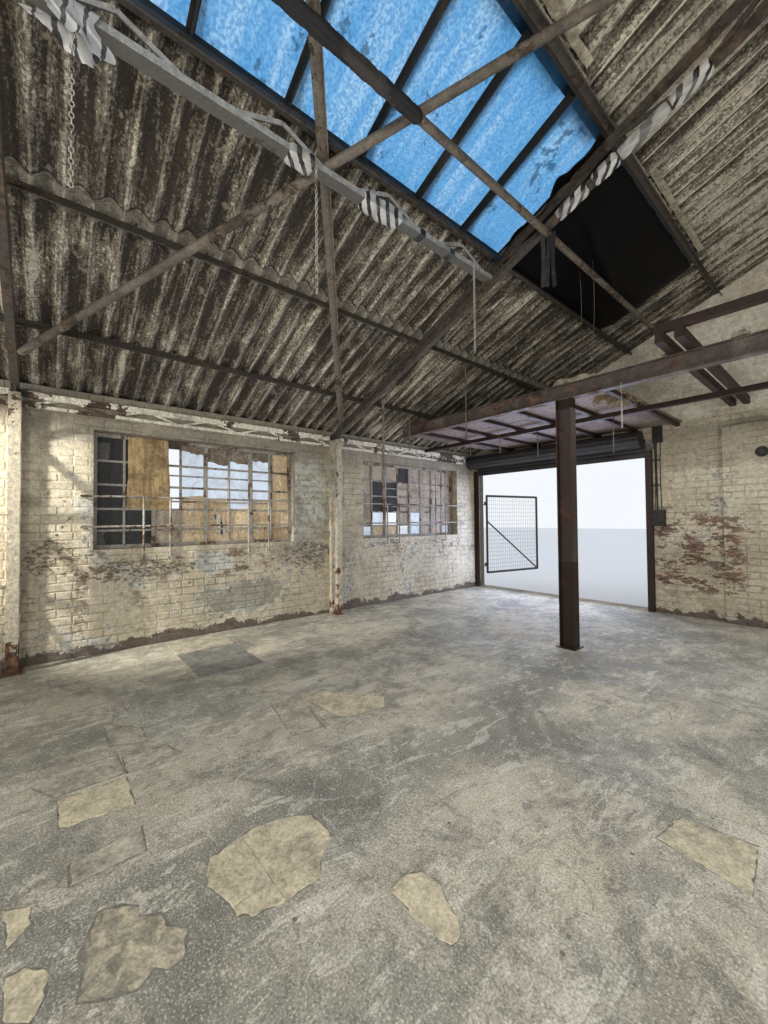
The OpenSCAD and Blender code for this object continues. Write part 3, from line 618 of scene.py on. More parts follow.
def limeSootPaintedLightAndShade(coats, where, place, torn):
    # Limewash in the top of the front gable, painted paler as painted light; painted shadow of the platform in
    # a band below it; soot and painted shade under the roof beside the eaves
    x, y, z = place
    atFront = rise(y, frontIn + 0.5, frontIn + 0.3)
    upper = atFront * rise(z, 2.45, 2.62)
    # Limewash, painted paler than its own colour as painted light from the roof light
    limewashAndPaintedLight = blend(rise(noise(where, 2.4, 6.0, 0.65, 0.5), 0.40, 0.62), (0.80, 0.755, 0.64), (0.58, 0.52, 0.42))
    coats = blend(upper * 0.92, coats, limewashAndPaintedLight)
    # Painted shadow of the platform: a dark band on the gable with a torn lower edge
    platformShadowBand = atFront * span(z + (torn - 0.5) * 0.25, 1.88, 1.94, 2.30, 2.55)
    coats = blend(platformShadowBand * rise(x, 1.9, 1.7) * 0.42, coats, (0.15, 0.13, 0.10))
    # Soot and painted shade: a darker band under the roof beside the eaves, where the eaves beams' shadow falls
    high = rise(z + noise(where, 1.6, 2.0) * 0.5, 2.12, 2.5)
    high = high * rise(abs(x), 2.2, half - 0.1)
    return blend(high * 0.6, coats, (0.12, 0.105, 0.08))


def wallMaterial():
    # Cream paint in many coats over brick inside, bare brick outside; the inside is told by the place
    made, where, shader = startMaterial("flakingPaintOnBrick")
    x, y, z = place = axes(where)
    aside = abs(x)
    paintedTo = 0.11  # how far the paint goes into the openings
    inside = (aside < half + paintedTo) * (abs(y - middleY) < (rearIn - frontIn) / 2 + paintedTo)
    tone = toneOf()
    fine = noise(where, 34.0, 6.0, 0.7)
    torn = noise(where, 6.0, 4.5, 0.72, 0.5)
    brick, joint = brickAndJoints(tone, fine)
    soot = use(mottle, Vector=where, Scale=0.9, Low=0.42, High=0.66)["Mask"]
    outer = grained(blend(soot * 0.6, brick, (0.07, 0.055, 0.045)), where, 22.0, 1.8)
    # Where the paint goes: low down, in a band below the sills, and by the doorway, where the brick shows
    damp = noise(where, 0.7, 4.0, 0.55, 0.4)
    lowDamp = rise(damp, 0.52, 0.66)
    byDoor = span(x, 0.55, 1.0, 1.65, 1.85) * span(z, 0.25, 0.5, 1.2, 1.75)
    byDoor = byDoor * rise(y, frontIn + 0.5, frontIn + 0.3)
    band = span(z, 0.62, 0.78, 0.96, 1.08) * rise(aside, half - 0.2, half - 0.1)
    loss = rise(z, 0.95, 0.15) * 0.012 + band * 0.03
    loss = loss + lowDamp * 0.04
    newest = use(flakes, Vector=where, Scale=8.0, Level=0.598 - loss)
    scar = stretch(where, (1.0, 1.0, 2.2), move=(3.1, 7.7, 1.9))
    scarred = larger(byDoor, larger(band * 0.45, lowDamp * 0.35))
    older = use(flakes, Vector=scar, Scale=15.0, Level=0.61 - scarred * 0.105)
    chip = stretch(where, (1.0, 1.0, 1.7), move=(9.0, 1.0, 4.0))
    chips = use(flakes, Vector=chip, Scale=34.0, Level=0.628 - loss * 0.8)
    cream, wash = creamAndWash(where)
    pale = blend(newest["Rim"] * 0.5, cream, (0.64, 0.62, 0.55))
    coats = blend(newest["Bare"] * 0.8, pale, wash)
    coats = wornPlaces(coats, wash, where, place, torn)
    bared = older["Bare"] * larger(byDoor, larger(band * 0.8, lowDamp * 0.6))
    coats = blend(bared, coats, brick)
    coats = blend(chips["Bare"] * 0.8, coats, (0.085, 0.065, 0.045))
    coats = blend(joint * rise(noise(where, 2.0, 2.0), 0.40, 0.60) * 0.5, coats, (0.16, 0.135, 0.10))
    coats = blend(tone * 0.08, coats, (0.22, 0.195, 0.14))
    coats = dirtOnCoats(coats, where, place, band)
    coats = limeSootPaintedLightAndShade(coats, where, place, torn)
    coats = grained(coats, where, 26.0, 1.25)
    colour = blend(inside, outer, coats)
    finishMaterial(shader, colour, fine * 0.25 + 0.66, fine, 0.004, 0.8)
    return made


def trafficAndOil(base, flat):
    # The dark track of traffic from the doorway, more dirt in the third bay, and oil
    x, y = axes(flat)[:2]
    wobble = (noise(flat, 0.9, 3.0, 0.62) - 0.5) * 1.2
    off = abs(x - 1.52 + wobble)
    track = rise(off, 0.42, 0.05) * rise(y, -0.4, -1.3)
    base = blend(track * 0.62, base, (0.12, 0.12, 0.10))
    base = blend(rise(y, -2.9, -1.4) * 0.24, base, (0.17, 0.163, 0.128))
    oil = use(mottle, Vector=stretch(flat, move=(5.0, 2.0, 0)), Scale=1.6, Low=0.54, High=0.66)["Mask"]
    return blend(oil * 0.4, base, (0.135, 0.13, 0.11))


def crustAndScrapes(base, flat, medium):
    # Pale crust: grains that stand close together where a wide noise is high
    crust = rise(noise(stretch(flat, move=(2, 6, 0)), 1.5, 5.0, 0.72, 0.8), 0.53, 0.60)
    crust = crust * rise(noise(flat, 62.0, 8.0, 0.8), 0.49, 0.57)
    base = blend(crust * 0.42, base, (0.60, 0.575, 0.48))
    # Scrapes of the float, drawn out one way
    scrape = rise(noise(stretch(flat, (1.0, 0.28, 1.0), (0, 0, 0.9)), 11.0, 9.0, 0.80, 0.6), 0.535, 0.575)
    base = blend(scrape * rise(medium, 0.44, 0.54) * 0.6, base, (0.61, 0.575, 0.47))
    across = stretch(flat, (1.0, 0.4, 1.0), (0, 0, 1.2), (3, 5, 0))
    dark = rise(noise(across, 8.0, 9.0, 0.80, 0.6), 0.55, 0.60)
    base = blend(dark * 0.5, base, (0.17, 0.16, 0.13))
    # Thin pale outlines: where a warped noise is near its middle value
    level = abs(noise(stretch(flat, (1.0, 0.7, 1.0), (0, 0, 0.5)), 2.4, 3.0, 0.5, 1.6) - 0.5)
    line = rise(level, 0.007, 0.002) * rise(noise(stretch(flat, move=(8, 3, 0)), 1.3, 2.0), 0.50, 0.58)
    return blend(line * 0.4, base, (0.60, 0.575, 0.49))


def flecksAndCracks(base, flat, fine):
    # Light and dark grains where noises are high or low, dots and fine cracks
    base = blend(rise(fine, 0.46, 0.36) * 0.45, base, (0.13, 0.125, 0.10))
    base = blend(rise(fine, 0.55, 0.66) * 0.5, base, (0.56, 0.53, 0.44))
    flecks = noise(flat, 150.0, 3.0, 0.6)
    base = blend(rise(flecks, 0.60, 0.64) * 0.55, base, (0.60, 0.57, 0.48))
    base = blend(rise(flecks, 0.40, 0.36) * 0.5, base, (0.12, 0.115, 0.095))
    dots = use(specks, Vector=flat, Scale=9.0, Size=0.09)["Mask"]
    base = blend(dots * 0.8, base, (0.07, 0.068, 0.06))
    # Fine cracks: the thin border between large warped cells, broken off by a noise
    cloud = take("TexNoise", "Color", Vector=flat, Scale=2.2, Detail=3.0)
    shift = take("VectorMath", 0, {"operation": "SCALE"}, i0=cloud, Scale=0.7)
    bent = stretch(take("VectorMath", 0, {"operation": "ADD"}, i0=flat, i1=shift), move=(0.4, 0.9, 0))
    cells = take("TexVoronoi", "Distance", {"feature": "DISTANCE_TO_EDGE"}, Vector=bent, Scale=0.42,
                 Randomness=1.0)
    crack = rise(cells, 0.0016, 0.0005) * rise(noise(flat, 1.1, 3.0), 0.54, 0.57)
    return blend(crack * 0.6, base, (0.08, 0.075, 0.065))


def floorMaterial():
    # Worn floated concrete: greenish grey, fine grain, crusty pale places, thin pale outlines and dark stains
    made, where, shader = startMaterial("wornConcrete")
    flat = stretch(where, (1, 1, 0))
    wide = noise(flat, 0.55, 3.0, 0.62, 0.9)
    medium = noise(flat, 2.3, 12.0, 0.74, 0.7)
    fine = noise(flat, 13.0, 10.0, 0.78, 0.3)
    base = blend(rise(wide, 0.42, 0.58), (0.45, 0.395, 0.295), (0.27, 0.258, 0.205))
    clouds = rise(noise(stretch(flat, move=(4, 1, 0)), 0.9, 5.0, 0.66, 0.6), 0.48, 0.62)
    base = blend(clouds * 0.7, base, (0.285, 0.28, 0.238))
    skinned = noise(stretch(flat, (1.0, 0.8, 1.0), (0, 0, 0.6), (7, 2, 0)), 1.4, 14.0, 0.78, 0.5)
    base = blend(rise(skinned, 0.535, 0.548) * 0.55, base, (0.52, 0.47, 0.365))
    base = blend(rise(skinned, 0.45, 0.437) * 0.5, base, (0.175, 0.172, 0.145))
    base = blend(rise(medium, 0.50, 0.64) * 0.6, base, (0.50, 0.465, 0.37))
    base = blend(rise(medium, 0.49, 0.37) * 0.75, base, (0.135, 0.132, 0.105))
    base = trafficAndOil(base, flat)
    base = crustAndScrapes(base, flat, medium)
    base = flecksAndCracks(base, flat, fine)
    base = grained(base, flat, 105.0, 1.9)
    rough = 0.82 - rise(wide, 0.5, 0.64) * 0.2
    finishMaterial(shader, base, rough, fine, 0.004, 0.7)
    return made


def sheetBelow(where, tone, away, phase, drawn):
    # Dark underside with pale runs along the corrugations, paler near the top of the slope; painted light makes
    # the ridges that hang lowest paler, with pale crests
    centred = lambda value, amount: (value - 0.5) * amount
    topBand = rise(away, 1.10, 0.98)
    # Painted light: the phase term makes the ridges that hang lowest paler
    mix = phase * 0.10 + 0.5 + centred(drawn(4.0, 1.1), 1.5) + centred(drawn(34.0, 2.6), 1.3)
    mix = mix + centred(noise(where, 60.0, 5.0, 0.75), 0.9) + topBand * 0.14 + centred(tone, 0.10)
    under = blend(rise(mix, 0.34, 0.54), (0.034, 0.026, 0.019), (0.165, 0.143, 0.108))
    under = blend(rise(mix, 0.60, 0.78), under, (0.47, 0.43, 0.345))
    # Painted highlight: pale crests on the ridges that hang lowest
    crest = rise(phase, topBand * -0.025 + 0.955, 0.99) * rise(drawn(16.0, 0.8), 0.36, 0.50)
    crest = crest * (topBand * 0.75 + 0.2)
    under = blend(tone * 0.12, under, (0.13, 0.115, 0.085))
    stain = use(mottle, Vector=where, Scale=1.3, Low=0.48, High=0.68)["Mask"]
    under = blend(stain * 0.55, under, (0.046, 0.036, 0.026))
    under = blend(use(flakes, Vector=where, Scale=22.0, Level=0.60)["Bare"] * 0.6, under, (0.30, 0.27, 0.21))
    # Plain strip between the edge of the sheets and the purlin that carries them
    strip = rise(away, lowerTop - 0.005, lowerTop) * rise(away, lowerTop + 0.14, lowerTop + 0.12)
    under = blend(strip * 0.6, under, (0.26, 0.24, 0.195))
    # A dark line just above the edge of the lower sheets: painted shadow of that edge, with dirt
    lapShadowAndDirt = rise(away, lowerTop - 0.022, lowerTop - 0.006) * (away < lowerTop)
    under = blend(lapShadowAndDirt * 0.85, under, (0.022, 0.017, 0.013))
    return grained(blend(crest, under, (0.62, 0.57, 0.45)), where, 30.0, 2.0)


def sheetAbove(where, tone, drawn):
    # Weathered grey with moss, runs and lichen
    moss = use(mottle, Vector=where, Scale=4.0, Low=0.5, High=0.66)["Mask"]
    above = blend(moss, (0.27, 0.26, 0.235), (0.13, 0.135, 0.095))
    above = blend(rise(drawn(13.0, 0.75), 0.44, 0.64) * 0.4, above, (0.14, 0.13, 0.115))
    spots = use(specks, Vector=where, Scale=16.0, Size=0.22)["Mask"]
    above = blend(spots * 0.7, above, (0.42, 0.42, 0.34))
    return blend(tone * 0.3, above, (0.33, 0.31, 0.28))


def sheetMaterial():
    # Cement sheet: underneath dark with pale runs along the corrugations, above weathered grey with lichen
    made, where, shader = startMaterial("cementSheet")
    lay = take("UVMap", 0, {"uv_map": "lay"})
    tone = toneOf()
    x, y = axes(where)[:2]
    upward = rise(axes(take("NewGeometry", "Normal"))[2], -0.05, 0.05)
    # Phase of the corrugation: 1 on the ridges that hang lowest, -1 in the hollows between them; it places the
    # painted light on the underside
    phase = calc("COSINE", (y - firstY) * (2 * math.pi / sheets["wave"]))
    drawn = lambda a, b: noise(stretch(lay, (a, b, 1.0)), 1.0, 3.0 if a > 12 else 5.0, 0.68, 0.3)
    rugged = noise(where, 45.0, 6.0, 0.7)
    under = sheetBelow(where, tone, abs(x), phase, drawn)
    above = sheetAbove(where, tone, drawn)
    finishMaterial(shader, blend(upward, under, above), 0.86, rugged, 0.003, 0.6)
    return made


def roofGlassMaterial():
    # Rough cast glass seen against the sky, dirty, with runs down the slope
    made, where, shader = startMaterial("castGlass")
    lay = take("UVMap", 0, {"uv_map": "lay"})
    down = use(runs, Vector=lay, Across=9.0, Along=0.8, Low=0.42, High=0.66)["Mask"]
    pebble = noise(where, 60.0, 3.0, 0.6)
    colour = blend(down, (0.17, 0.47, 0.80), (0.44, 0.70, 0.92))
    colour = blend(rise(pebble, 0.46, 0.56) * 0.7, colour, (0.08, 0.29, 0.62))
    dirt = use(flakes, Vector=where, Scale=16.0, Level=0.585)["Bare"]
    colour = blend(dirt * 0.75, colour, (0.04, 0.11, 0.2))
    finishMaterial(shader, colour, 0.35, pebble, 0.0015, 0.5)
    shader.inputs["IOR"].default_value = 1.3
    shader.inputs["Transmission Weight"].default_value = 1.0
    return made


wallPaint = wallMaterial()
concrete = floorMaterial()
cementSheet = sheetMaterial()
castGlass = roofGlassMaterial()
print("materials made")


def paneGlassMaterial():
    # Thin window glass with a film of dust and pale runs from the top
    made, where, shader = startMaterial("dustyPane")
    tone = toneOf()
    film = use(mottle, Vector=where, Scale=5.0, Low=0.35, High=0.7)["Mask"]
    colour = blend(film, (0.80, 0.88, 0.98), (0.62, 0.66, 0.72))
    colour = blend(rise(tone, 0.6, 1.0) * 0.4, colour, (0.5, 0.48, 0.46))
    finishMaterial(shader, colour, 0.22, noise(where, 14.0, 2.0), 0.001, 0.15)
    shader.inputs["IOR"].default_value = 1.2
    shader.inputs["Transmission Weight"].default_value = 0.92
    return made


def boardMaterial(name, light, dark, stain, scale=3.0, grainScale=30.0):
    # Sheet or plank wood: grain drawn out along the piece, with damp stains and nail marks
    made, where, shader = startMaterial(name)
    streak = noise(stretch(where, (1.0, 1.0, 0.12)), grainScale, 6.0, 0.6, 0.8)
    colour = blend(rise(streak, 0.36, 0.66), light, dark)
    damp = use(mottle, Vector=where, Scale=scale, Low=0.45, High=0.66)["Mask"]
    colour = blend(damp * 0.6, colour, stain)
    colour = blend(toneOf() * 0.35, colour, tuple(0.6 * c for c in dark))
    marks = use(specks, Vector=where, Scale=12.0, Size=0.1)["Mask"]
    colour = blend(marks * 0.8, colour, (0.05, 0.035, 0.025))
    colour = grained(colour, where, grainScale, 1.5)
    finishMaterial(shader, colour, 0.74, streak, 0.0012, 0.5)
    return made


dustyPane = paneGlassMaterial()
# The tan boards are painted paler than their own tan: painted light shining through them from behind
tanBoard = boardMaterial("tanBoard", (0.80, 0.64, 0.42), (0.62, 0.48, 0.30), (0.38, 0.26, 0.15))
plywood = boardMaterial("plywood", (0.50, 0.36, 0.18), (0.29, 0.20, 0.09), (0.09, 0.052, 0.025), 5.0)
pinkBoard = boardMaterial("ceilingBoard", (0.26, 0.195, 0.165), (0.15, 0.11, 0.092), (0.05, 0.036, 0.029), 1.4)
paleBoard = boardMaterial("paleBoard", (0.55, 0.46, 0.355), (0.40, 0.335, 0.265), (0.22, 0.18, 0.14), 4.0)
grimeFilm = boardMaterial("grimeFilm", (0.20, 0.155, 0.11), (0.14, 0.105, 0.075), (0.34, 0.30, 0.25), 9.0)
greyCard = boardMaterial("greyCard", (0.115, 0.11, 0.105), (0.085, 0.08, 0.076), (0.06, 0.055, 0.05), 5.0)
plasterLump = boardMaterial("plasterLump", (0.46, 0.42, 0.33), (0.30, 0.26, 0.19), (0.15, 0.12, 0.08), 7.0)
straw = boardMaterial("strawPacking", (0.40, 0.31, 0.17), (0.24, 0.175, 0.09), (0.08, 0.055, 0.03), 12.0)
tanMortar = boardMaterial("tanMortar", (0.50, 0.44, 0.30), (0.42, 0.37, 0.255), (0.35, 0.31, 0.22), 7.0, 16.0)
greyMortar = boardMaterial("greyMortar", (0.40, 0.37, 0.285), (0.33, 0.305, 0.235), (0.19, 0.175, 0.14), 7.0,
                           9.0)
coverPlate = boardMaterial("coverPlate", (0.19, 0.195, 0.17), (0.15, 0.15, 0.133), (0.09, 0.085, 0.075), 4.0,
                           9.0)
darkPane = boardMaterial("darkPane", (0.035, 0.036, 0.036), (0.025, 0.026, 0.027), (0.06, 0.058, 0.052))


def blackPlastic():
    # Dull black film with a little dust where a wide noise is high
    made, where, shader = startMaterial("blackSheeting")
    dust = use(mottle, Vector=where, Scale=2.4, Low=0.5, High=0.75)["Mask"]
    colour = blend(dust * 0.25, (0.0022, 0.0022, 0.0032), (0.011, 0.011, 0.013))
    finishMaterial(shader, colour, 0.6, noise(where, 22.0, 5.0), 0.002, 0.35)
    shader.inputs["Specular IOR Level"].default_value = 0.13
    return made


def stripedPlastic(name, pale, dark, scale, share, rough=0.55):
    # Pale plastic or cloth with dark stripes across it, broken by folds
    made, where, shader = startMaterial(name)
    bent = noise(where, 18.0, 4.0)
    x, y = axes(where)[:2]
    wave = calc("SINE", (x + y) * scale + bent * 2.6)
    stripes = rise(wave, 1.0 - 2 * share, 1.05 - 2 * share)
    soil = use(mottle, Vector=where, Scale=9.0, Low=0.42, High=0.68)["Mask"]
    colour = blend(stripes, pale, dark)
    colour = blend(soil * 0.5, colour, tuple(0.42 * c for c in pale))
    finishMaterial(shader, colour, rough, bent, 0.003, 0.6)
    return made


blackSheet = blackPlastic()
whiteWrap = stripedPlastic("whiteWrap", (0.56, 0.55, 0.52), (0.018, 0.018, 0.020), 78.0, 0.36)
greyWrap = stripedPlastic("greyWrap", (0.42, 0.41, 0.39), (0.16, 0.15, 0.14), 24.0, 0.2)
blackTape = stripedPlastic("blackTape", (0.02, 0.02, 0.022), (0.05, 0.05, 0.05), 30.0, 0.2)
ragCloth = stripedPlastic("ragCloth", (0.56, 0.56, 0.55), (0.06, 0.06, 0.065), 95.0, 0.16, 0.85)
foamSleeve = stripedPlastic("foamSleeve", (0.014, 0.013, 0.014), (0.042, 0.037, 0.034), 8.0, 0.3, 0.8)
lintelStone = oldSteel("lintelConcrete", (0.26, 0.245, 0.21), ((0.13, 0.12, 0.10), (0.2, 0.18, 0.15)), 0.54,
                       6.0)

# Finish of each node that stays as it is, or that pieces are laid on
finishes = {
    wallPaint: ("east_wall", "west_wall", "front_wall", "door_head_wall", "rear_wall"),
    concrete: ("floor_slab",),
    lintelStone: ("door_lintel",),
    creamSteel: ("east_stanchions", "west_stanchions"),
    darkSteel: ("east_rafters", "west_rafters", "east_purlins", "west_purlins"),
    redSteel: ("platform_posts", "cross_beams", "joists", "hangers", "shutter_guides"),
    beamSteel: ("main_beam",),
    eavesPaint: ("east_eaves_beams", "west_eaves_beams"),
    frameSteel: ("window_frames", "guard_bars"),
    chalkySteel: ("lattice_purlins",),
    sootyTube: ("roof_tubes",),
    cementSheet: ("ridge_cap",),
    blackSteel: ("control_box", "gutters", "light_curbs", "glazing_bars"),
    gateSteel: ("gate_hinges", "east_gate", "west_gate"),
    shutterSteel: ("roller_shutter",),
    pinkBoard: ("ceiling_boards",),
}
for finish, keys in finishes.items():
    for key in keys:
        nodes[key].data.materials.clear()
        nodes[key].data.materials.append(finish)
print("frame finished")

# Bricks: rows of 75 mm, three of stretchers to one of headers, standing a little out of the joints
bricks = {
    "course": 0.075, "joint": 0.010, "long": 0.225, "proud": 0.0035, "painted": 0.0023, "uneven": 0.0011,
    "rough": 0.0006, "edge": 0.004, "least": 0.012, "endGap": 0.002, "roofGap": 0.004, "headerShift": 0.05,
}


def wallBricks(corner, along, out, length, topAt, openings, bottom, proud):
    # A pad for each brick: a front face and four sloping sides, cut at openings and at the roof line
    rows = []
    tallest = max(topAt(0.0), topAt(length), topAt(length / 2))
    for k in range(int((tallest - bottom) / bricks["course"]) + 1):
        header = k % 4 == 3
        pitch = bricks["long"] / 2 if header else bricks["long"]
        shift = -pitch * (0.5 if k % 2 else 1.0) - (bricks["headerShift"] if header else 0)
        u0 = np.arange(shift, length, pitch)
        gap = bricks["joint"] / 2
        z0 = bottom + k * bricks["course"] + gap
        cell = [(u0 + gap, u0 + pitch - gap, z0, z0 + bricks["course"] - bricks["joint"])]
        for a, b, low, high in openings:
            cut = []
            for s, e, zl, zh in cell:
                if high <= zl or low >= zh:
                    cut.append((s, e, zl, zh))
                    continue
                cut += [(s, np.minimum(e, a), zl, zh), (np.maximum(s, b), e, zl, zh)]
                for lo2, hi2 in ((zl, low), (high, zh)):
                    if hi2 - lo2 > bricks["least"]:
                        cut.append((np.maximum(s, a), np.minimum(e, b), lo2, hi2))
            cell = cut
        for s, e, zl, zh in cell:
            s, e = np.maximum(s, bricks["endGap"]), np.minimum(e, length - bricks["endGap"])
            left, right = topAt(s) - bricks["roofGap"], topAt(e) - bricks["roofGap"]
            keep = (e - s > bricks["least"] + 0.002) & (np.minimum(left, right) > zl + bricks["least"])
            brick = [s, e, np.full(len(s), zl), np.minimum(zh, right), np.minimum(zh, left)]
            rows.append(np.stack(brick, axis=1)[keep])
    r = np.concatenate(rows)
    n = len(r)
    u = np.stack([r[:, 0], r[:, 1], r[:, 1], r[:, 0]], axis=1)
    z = np.stack([r[:, 2], r[:, 2], r[:, 3], r[:, 4]], axis=1)
    inset = bricks["edge"] * np.array([[1, -1, -1, 1], [1, 1, -1, -1]])
    depth = proud + draws.normal(0, bricks["uneven"], (n, 1)) + draws.normal(0, bricks["rough"], (n, 4))
    corner, along, out = (np.asarray(v, float) for v in (corner, along, out))

    def lay(uu, zz, dd):
        # A place on the wall: corner + u along it + depth out of it + z upwards
        return corner + uu[..., None] * along + dd[..., None] * out + zz[..., None] * np.array([0, 0, 1.0])

    foot, face = lay(u, z, np.full((n, 4), -0.001)), lay(u + inset[0], z + inset[1], depth)
    points = np.stack([foot, face], axis=1).reshape(-1, 3)
    pad = np.array([[4, 5, 6, 7], [0, 1, 5, 4], [1, 2, 6, 5], [2, 3, 7, 6], [3, 0, 4, 7]])
    faces = (np.arange(n)[:, None, None] * 8 + pad).reshape(-1, 4)
    if np.dot(np.cross(along, [0, 0, 1.0]), out) < 0:
        faces = faces[:, ::-1]
    return (points, [faces]), np.repeat(0.05 + 0.95 * draws.random(n), 8)


# Openings in the walls, with heights above the floor
openings = {"windowHalf": 1.025, "sill": 0.955, "windowHead": 2.07, "doorWide": 2.745, "doorHead": 2.23,
            "lintelPast": 0.12, "lintelLow": 2.1, "ledgeX": 1.031, "ledgeTop": 2.256, "ledgeOut": 0.06}
sill, head = floorTop + openings["sill"], floorTop + openings["windowHead"]
hole = lambda middle: (middle - openings["windowHalf"], middle + openings["windowHalf"], sill, head)
bayHoles = [hole((i + 0.5) * bay) for i in range(hall["bays"])]
rearHoles = [hole(half + x) for x in (-half / 2, half / 2)]
moved = lambda holes: [(a + wallT, b + wallT, low, high) for a, b, low, high in holes]
doorX, doorHead = half - openings["doorWide"], floorTop + openings["doorHead"]
lintelX, lintelZ = doorX - openings["lintelPast"], floorTop + openings["lintelLow"]
ledgeX, ledgeZ = openings["ledgeX"], floorTop + openings["ledgeTop"]
gable = lambda reach: (lambda u: roofZ(u - reach) - 0.001)
level = lambda x: (lambda u: roofZ(x) - 0.001 + 0 * np.asarray(u))
lengthIn, lengthOut, full = rearIn - frontIn, rearOut - frontOut, half + wallT
far = 2 * half + 1
innerFront = [(half + doorX, far, 0, doorHead), (half + lintelX, far, lintelZ, doorHead),
              (-1, half + ledgeX, 0, ledgeZ)]
outerFront = [(full + doorX, full + half, 0, doorHead),
              (full + lintelX, full + half + openings["lintelPast"], lintelZ, doorHead)]
# Each face of a wall: its corner, the way along it, the way out of it, its length and its line under the roof
rearward, frontward, eastward = (0, 1, 0), (0, -1, 0), (1, 0, 0)
inside = [(name + "InnerBricks", (side * half, frontIn, 0), rearward, (-side, 0, 0), lengthIn, level(half),
           bayHoles, floorTop) for name, side in sides]
outside = [(name + "OuterBricks", (side * full, frontOut, 0), rearward, (side, 0, 0), lengthOut, level(full),
            moved(bayHoles), 0) for name, side in sides]
skins = inside + outside + [
    ("frontInnerBricks", (-half, frontIn, 0), eastward, rearward, 2 * half, gable(half), innerFront, floorTop),
    ("frontLedgeBricks", (-half, frontIn + openings["ledgeOut"], 0), eastward, rearward, half + ledgeX,
     lambda u: ledgeZ - 0.002 + 0 * np.asarray(u), [], floorTop),
    ("frontOuterBricks", (-full, frontOut, 0), eastward, frontward, 2 * full, gable(full), outerFront, 0),
    ("rearInnerBricks", (-half, rearIn, 0), eastward, frontward, 2 * half, gable(half), rearHoles, floorTop),
    ("rearOuterBricks", (-full, rearOut, 0), eastward, rearward, 2 * full, gable(full), moved(rearHoles), 0),
]
for name, corner, along, out, length, topAt, holes, bottom in skins:
    proud = bricks["proud" if "Outer" in name else "painted"]
    mesh, tone = wallBricks(corner, along, out, length, topAt, holes, bottom, proud)
    addPiece(name, mesh, wallPaint, tone=tone)
print("bricks laid")

# Roof sheets: bands of single corrugated sheets that lap by one corrugation at the side

def liftOf(length, over):
    # Height of the foot of a band: it clears the band below where the two lap
    return (sheets["thick"] / cosP + 3 * fit) * length / (length - over) if over > 0 else fit


def sheetBand(lowX, topX, over, first, last):
    # Each sheet: height = half depth * (1 - cosine along Y) + its lift, on a plane turned by pitch less tilt
    length = (lowX - topX) / cosP
    turn = hall["pitch"] - math.asin((liftOf(length, over) - fit) / length)
    parts, uvs, tones = [], [], []
    for k, a in enumerate(np.arange(first, last - 0.01, sheets["cover"])):
        b = min(a + sheets["cover"], last)
        odd = k % 2 == 1
        if odd:
            a, b = max(a - 1, first), min(b + 1, last)
        y = np.linspace(a, b, round((b - a) * sheets["steps"]) + 1) * sheets["wave"]
        s = np.linspace(0, 1, sheets["rows"] + 1)
        grow = draws.normal(0, 0.006 if over > 0 else 0.004)
        ys, ss = grid(y, s)
        raised = sheets["thick"] + 0.0008 if odd else 0.0
        h = fit + sheets["depth"] / 2 * (1 - np.cos(2 * np.pi * ys / sheets["wave"])) + raised
        h += sheets["sag"] * (1 - np.cos(2 * np.pi * ss)) * draws.uniform(0.0, 1.0) * 0.3
        run = ss * (length + grow)
        x = topX + run * math.cos(turn) + h * math.sin(turn)
        z = roofZ(topX) - run * math.sin(turn) + h * math.cos(turn)
        points = np.stack([x, firstY + ys, z], axis=-1).reshape(-1, 3)
        parts.append((points, [gridFaces(len(y), len(s))[:, ::-1]]))
        uvs.append(np.stack([ys + draws.uniform(0, 40), run + draws.uniform(0, 40)], axis=-1).reshape(-1, 2))
        tones.append(np.full(ys.size, draws.random()))
    return join(parts), np.concatenate(uvs), np.concatenate(tones)


def addSheets(side, band, replaced, rows):
    # The bands of sheets of one slope, with their thickness upwards
    made = [sheetBand(*row) for row in rows]
    mesh = join([m[0] for m in made])
    uv, tone = (np.concatenate([m[k] for m in made]) for k in (1, 2))
    mesh = mirrored(mesh) if side == "west" else mesh
    piece = addPiece(side + band + "Sheets", mesh, cementSheet, smooth=True, uv=uv, tone=tone,
                     replaced=(replaced,))
    thicken(piece, sheets["thick"])


lightFront, lightRear = frontIn + 1.0, rearIn - 1.0
endWaves = (lightFront - sheets["curbGap"] - firstY) / sheets["wave"]
bandRows = {
    "Lower": (eavesX, lowerTop, 0, 0, waves),
    "Middle": (middleLow, middleTop, sheets["lapLength"], 0, waves),
    "Upper": (upperLow, upperTop, upperLow - endTop, 0, waves),
}
for side, _ in sides:
    for band, row in bandRows.items():
        addSheets(side, band, f"{side}_{band.lower()}_sheets", [row])
for side, _ in sides:
    ends = [(endLow, endTop, endLow - middleTop, a, b) for a, b in ((0, endWaves), (waves - endWaves, waves))]
    addSheets(side, "End", "end_sheets", ends)
print("roof sheeted")

# Roof light: single panes of cast glass between the bars
light = {
    "gap": 0.5, "topX": purlinX[1] + sheets["bearing"], "lowX": purlinX[2] - 0.024, "head": 0.044,
    "curb": 0.038, "past": 0.03, "thick": 0.006, "sideGap": 0.002, "bow": 0.0015, "grid": 5, "tieAside": 0.024,
    "tieDrop": 0.2916,
}
tieX = (purlinX[1] + purlinX[2]) / 2 - light["tieAside"]
tieZ = roofZ(tieX) - light["tieDrop"]
glassRise = sheets["depth"] + 3 * sheets["thick"]


def onSlope(s, y, n):
    # A place by distance down the slope from the ridge line, by Y, and by height square to the slope
    return np.stack(np.broadcast_arrays(s * cosP + n * sinP, y, roofZ(0) - s * sinP + n * cosP), axis=-1)


